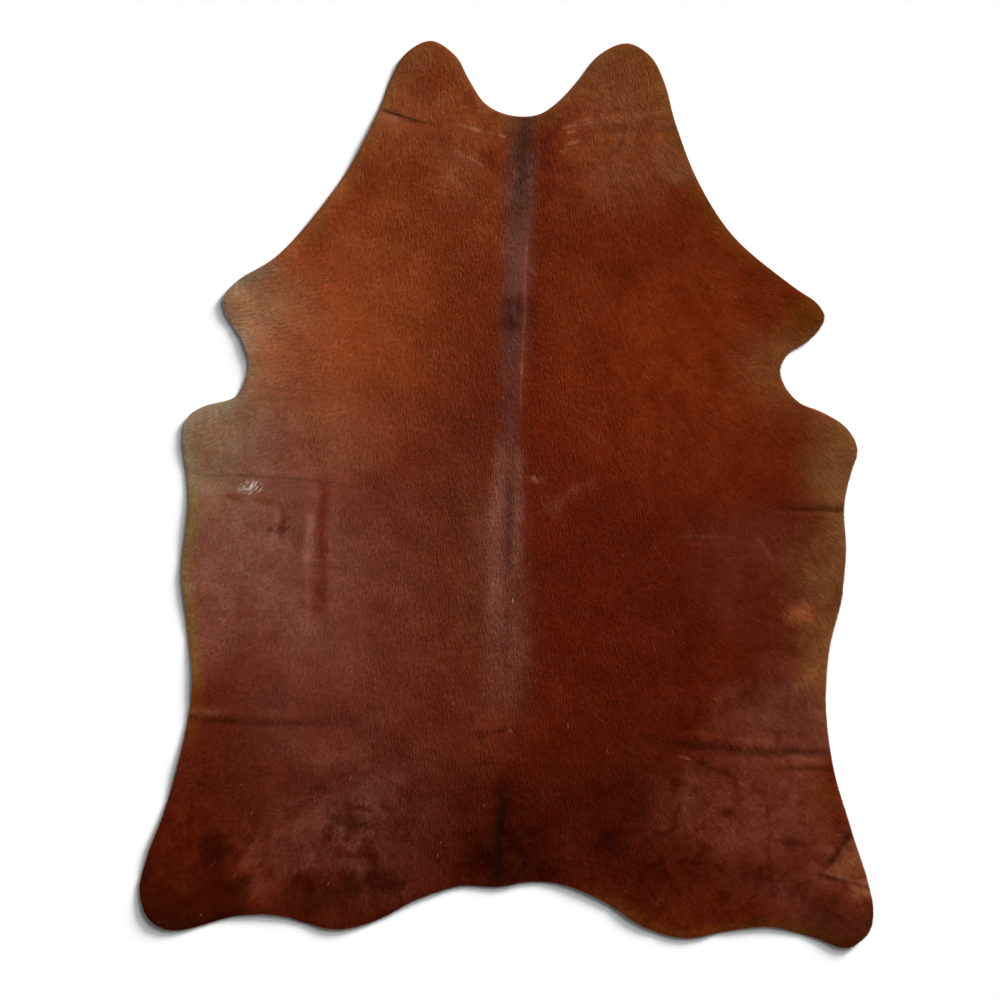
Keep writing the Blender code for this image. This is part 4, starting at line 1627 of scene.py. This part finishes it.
    def ground(self, piece: Object, region: Region) -> Object:
        """Take the part of the sheet's coat side that lies in a region.

        Args:
            piece: The finished sheet.
            region: The region.

        Returns:
            A bare mesh that keeps the hair's lay, size and closeness on its points.
        """
        mesh = piece.data
        places = read_rows(mesh.vertices, "co")
        chosen = [face for face in mesh.polygons if face.material_index == 0]
        middles = np.array([face.center for face in chosen])
        corners = np.array([face.vertices[:] for face in chosen])[region.covers(middles)]
        used, corners = np.unique(corners, return_inverse=True)
        ground = bpy.data.meshes.new("ground")
        ground.from_pydata(places[used].tolist(), [], corners.reshape(-1, 3).tolist())
        flat = places[used, :2]
        aside = self.tones.line_gap(flat, self.length)
        room = self.sheet.room(flat) + self.overhang
        size = np.clip(room / self.length, self.shortest, 1.0)
        size = np.minimum(size, np.clip(aside / self.length, self.line_size, 1.0))
        write_values(ground, "lay", "FLOAT_VECTOR", self.flow.at(flat))
        write_values(ground, "size", "FLOAT", size)
        write_values(ground, "thicken", "FLOAT", size**self.crowding)
        return link_object("ground", ground)

    def grow(self, piece: Object) -> list[Object]:
        """Grow the coat on the sheet, a region at a time.

        Args:
            piece: The finished sheet.

        Returns:
            The coat's pieces.
        """
        share = 1.0
        lock = self.lock()
        tree, named = self.growth_tree()
        values = {
            "Lock": lock,
            "Finish": CoatHair().material(),
            "Locks per Square Metre": self.locks * share,
            "Width": self.width / share**self.quick_widening,
            "Length": self.length,
            "Rise": self.rise,
            "Sink": self.sink,
            "Yaw": self.yaw,
            "Roll": self.roll,
            "Pitch": self.pitch,
        }
        pieces = []
        for k, region in enumerate(Region):
            ground = self.ground(piece, region)
            modifier = ground.modifiers.new("growth", "NODES")
            modifier.node_group = tree
            for name, value in {**values, "Seed": self.seed_gap * k + 1}.items():
                modifier[named[name]] = value
            depsgraph = bpy.context.evaluated_depsgraph_get()
            mesh = bpy.data.meshes.new_from_object(
                ground.evaluated_get(depsgraph), preserve_all_data_layers=True, depsgraph=depsgraph
            )
            ground.modifiers.remove(modifier)
            bpy.data.objects.remove(ground)
            mesh.name = f"coat_{region.value}"
            self.dress(mesh)
            pieces.append(link_object(mesh.name, mesh))
        bpy.data.objects.remove(lock)
        return pieces

    def dress(self, mesh: Mesh) -> None:
        """Lay every lock on the sheet, and give it its tone and the coat its flat map.

        Args:
            mesh: The grown coat of one region.
        """
        corners = 4
        roots = read_rows(mesh.attributes["root"].data, "vector")[::corners, :2]
        along = read_values(mesh.attributes["along"].data, "value")
        for name in ("root", "lay", "size", "thicken"):
            if name in mesh.attributes:
                mesh.attributes.remove(mesh.attributes[name])
        places = read_rows(mesh.vertices, "co")
        flat = places[:, :2]
        floor = self.sheet.coat_side(flat)[:, 2] + self.clearance * along
        places[:, 2] = np.where(along > 0.0, np.maximum(places[:, 2], floor), places[:, 2])
        mesh.vertices.foreach_set("co", places.ravel())
        room = np.repeat(self.sheet.room(roots), corners)
        draw = np.repeat(np.random.default_rng(len(roots)).uniform(size=len(roots)), corners)
        tone, mottle = self.tones.at(flat, room, draw, along)
        write_tone(mesh, tone)
        write_values(mesh, "mottle", "FLOAT", mottle)
        flat = (flat - flat.min(0)) / np.ptp(flat, axis=0)
        of_corner = read_values(mesh.loops, "vertex_index", np.int32)
        mesh.uv_layers.new(name="OFBake").data.foreach_set("uv", flat[of_corner].ravel())


# ---------------------------------------------------------------- the studio


@dataclass(frozen=True)
class SoftBox:
    """A soft light far off to one side: its strength, height angle and spread, in degrees."""

    name: str
    strength: float
    height: float
    spread: float


SOFT_BOXES = (
    SoftBox("low_soft_box", 6.97, 14.3, 12.6),
    SoftBox("high_soft_box", 2.7, 28.4, 42.0),
)


@dataclass(frozen=True)
class FloorPaint:
    """Matt pale floor paint, a touch greyer in broad clouds, so that it isn't dead flat."""

    pale: Colour = linear("#F7F7F7")
    cloud_shade: float = 0.985
    cloud_mm: float = 1000 / 3
    cloud_detail: float = 2.0
    roughness: float = 0.95

    def material(self) -> Material:
        """Build the floor's material.

        Returns:
            The material.
        """
        paint = Paint("matt_white_paint")
        shaded = tuple(self.cloud_shade * part for part in self.pale)
        clouds = paint.noise(self.cloud_mm, self.cloud_detail)
        colour = paint.mix(clouds, self.pale, shaded)
        return paint.finish(colour, self.roughness, glint=(0.0, WHITE))


@dataclass(frozen=True)
class Studio:
    """A pale floor under soft light, seen from straight above."""

    floor_size: float = 40.0
    floor_gap: float = 0.5 * MM
    side: float = math.radians(45)
    fill_strength: float = 0.13
    backdrop: float = 0.95
    camera_place: tuple[float, float, float] = (-0.0158, -0.0139, 12.0)
    seen_width: float = 2.428
    seen_depth: float = 200.0
    sensor: float = 36.0

    def build(self) -> Object:
        """Build the floor, the lights and the camera.

        Returns:
            The floor.
        """
        half = self.floor_size / 2
        mesh = bpy.data.meshes.new("floor")
        sides = ((-half, -half), (half, -half), (half, half), (-half, half))
        mesh.from_pydata([(x, y, -self.floor_gap) for x, y in sides], [], [(0, 1, 2, 3)])
        mesh.materials.append(FloorPaint().material())
        floor = link_object("floor", mesh)
        self.light()
        self.camera()
        return floor

    def light(self) -> None:
        """Make the soft boxes and the even light all round."""
        for box in SOFT_BOXES:
            lamp = bpy.data.lights.new(box.name, "SUN")
            lamp.energy = box.strength
            lamp.angle = math.radians(box.spread)
            rise = math.radians(box.height)
            level = math.cos(rise)
            way = Vector((level * math.cos(self.side), level * math.sin(self.side), math.sin(rise)))
            link_object(box.name, lamp).rotation_euler = way.to_track_quat("Z", "Y").to_euler()
        world = bpy.data.worlds.new("soft_room")
        bpy.context.scene.world = world
        world.use_nodes = True
        tree = world.node_tree
        tree.nodes.clear()
        ray = add_node(tree, "ShaderNodeLightPath").outputs["Is Camera Ray"]
        feeds = {"Value": ray, "To Min": self.fill_strength, "To Max": self.backdrop}
        level = add_node(tree, "ShaderNodeMapRange", feeds)
        feeds = {"Strength": level, "Color": (*linear(WHITE), 1.0)}
        glow = add_node(tree, "ShaderNodeBackground", feeds)
        add_node(tree, "ShaderNodeOutputWorld", {"Surface": glow})
        bpy.context.scene.view_settings.view_transform = "Standard"

    def camera(self) -> None:
        """Put the camera straight above the hide, as wide as the picture's frame."""
        lens = bpy.data.cameras.new("camera")
        lens.sensor_width = self.sensor
        lens.lens = self.sensor * self.camera_place[2] / self.seen_width
        lens.clip_end = self.seen_depth
        camera = link_object("camera", lens)
        camera.location = self.camera_place
        bpy.context.scene.camera = camera


# ---------------------------------------------------------------- all together


def keep_sizes() -> None:
    """Bring the scene's placements up to date."""
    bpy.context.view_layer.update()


def main() -> None:
    """Build the hide and its surroundings, attach the hide's pieces to its body, and hide the frame's part.
    """
    logging.basicConfig(level=logging.INFO, format="%(name)s: %(message)s")
    floor = Studio().build()
    tones = CoatTones()
    hide = HideSheet(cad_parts[NODE], Relief(), tones)
    sheet = hide.build()
    coat = Coat(hide, HairFlow(), tones).grow(sheet)
    for piece in [sheet, *coat]:
        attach(piece, BODY)
        LOG.info("%s has %d faces", piece.name, len(piece.data.polygons))
    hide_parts(NODE)
    hide.area()
    LOG.info("the sheet covers %.3f square metres", hide.area())
    keep_sizes()


if __name__ == "__main__":
    main()
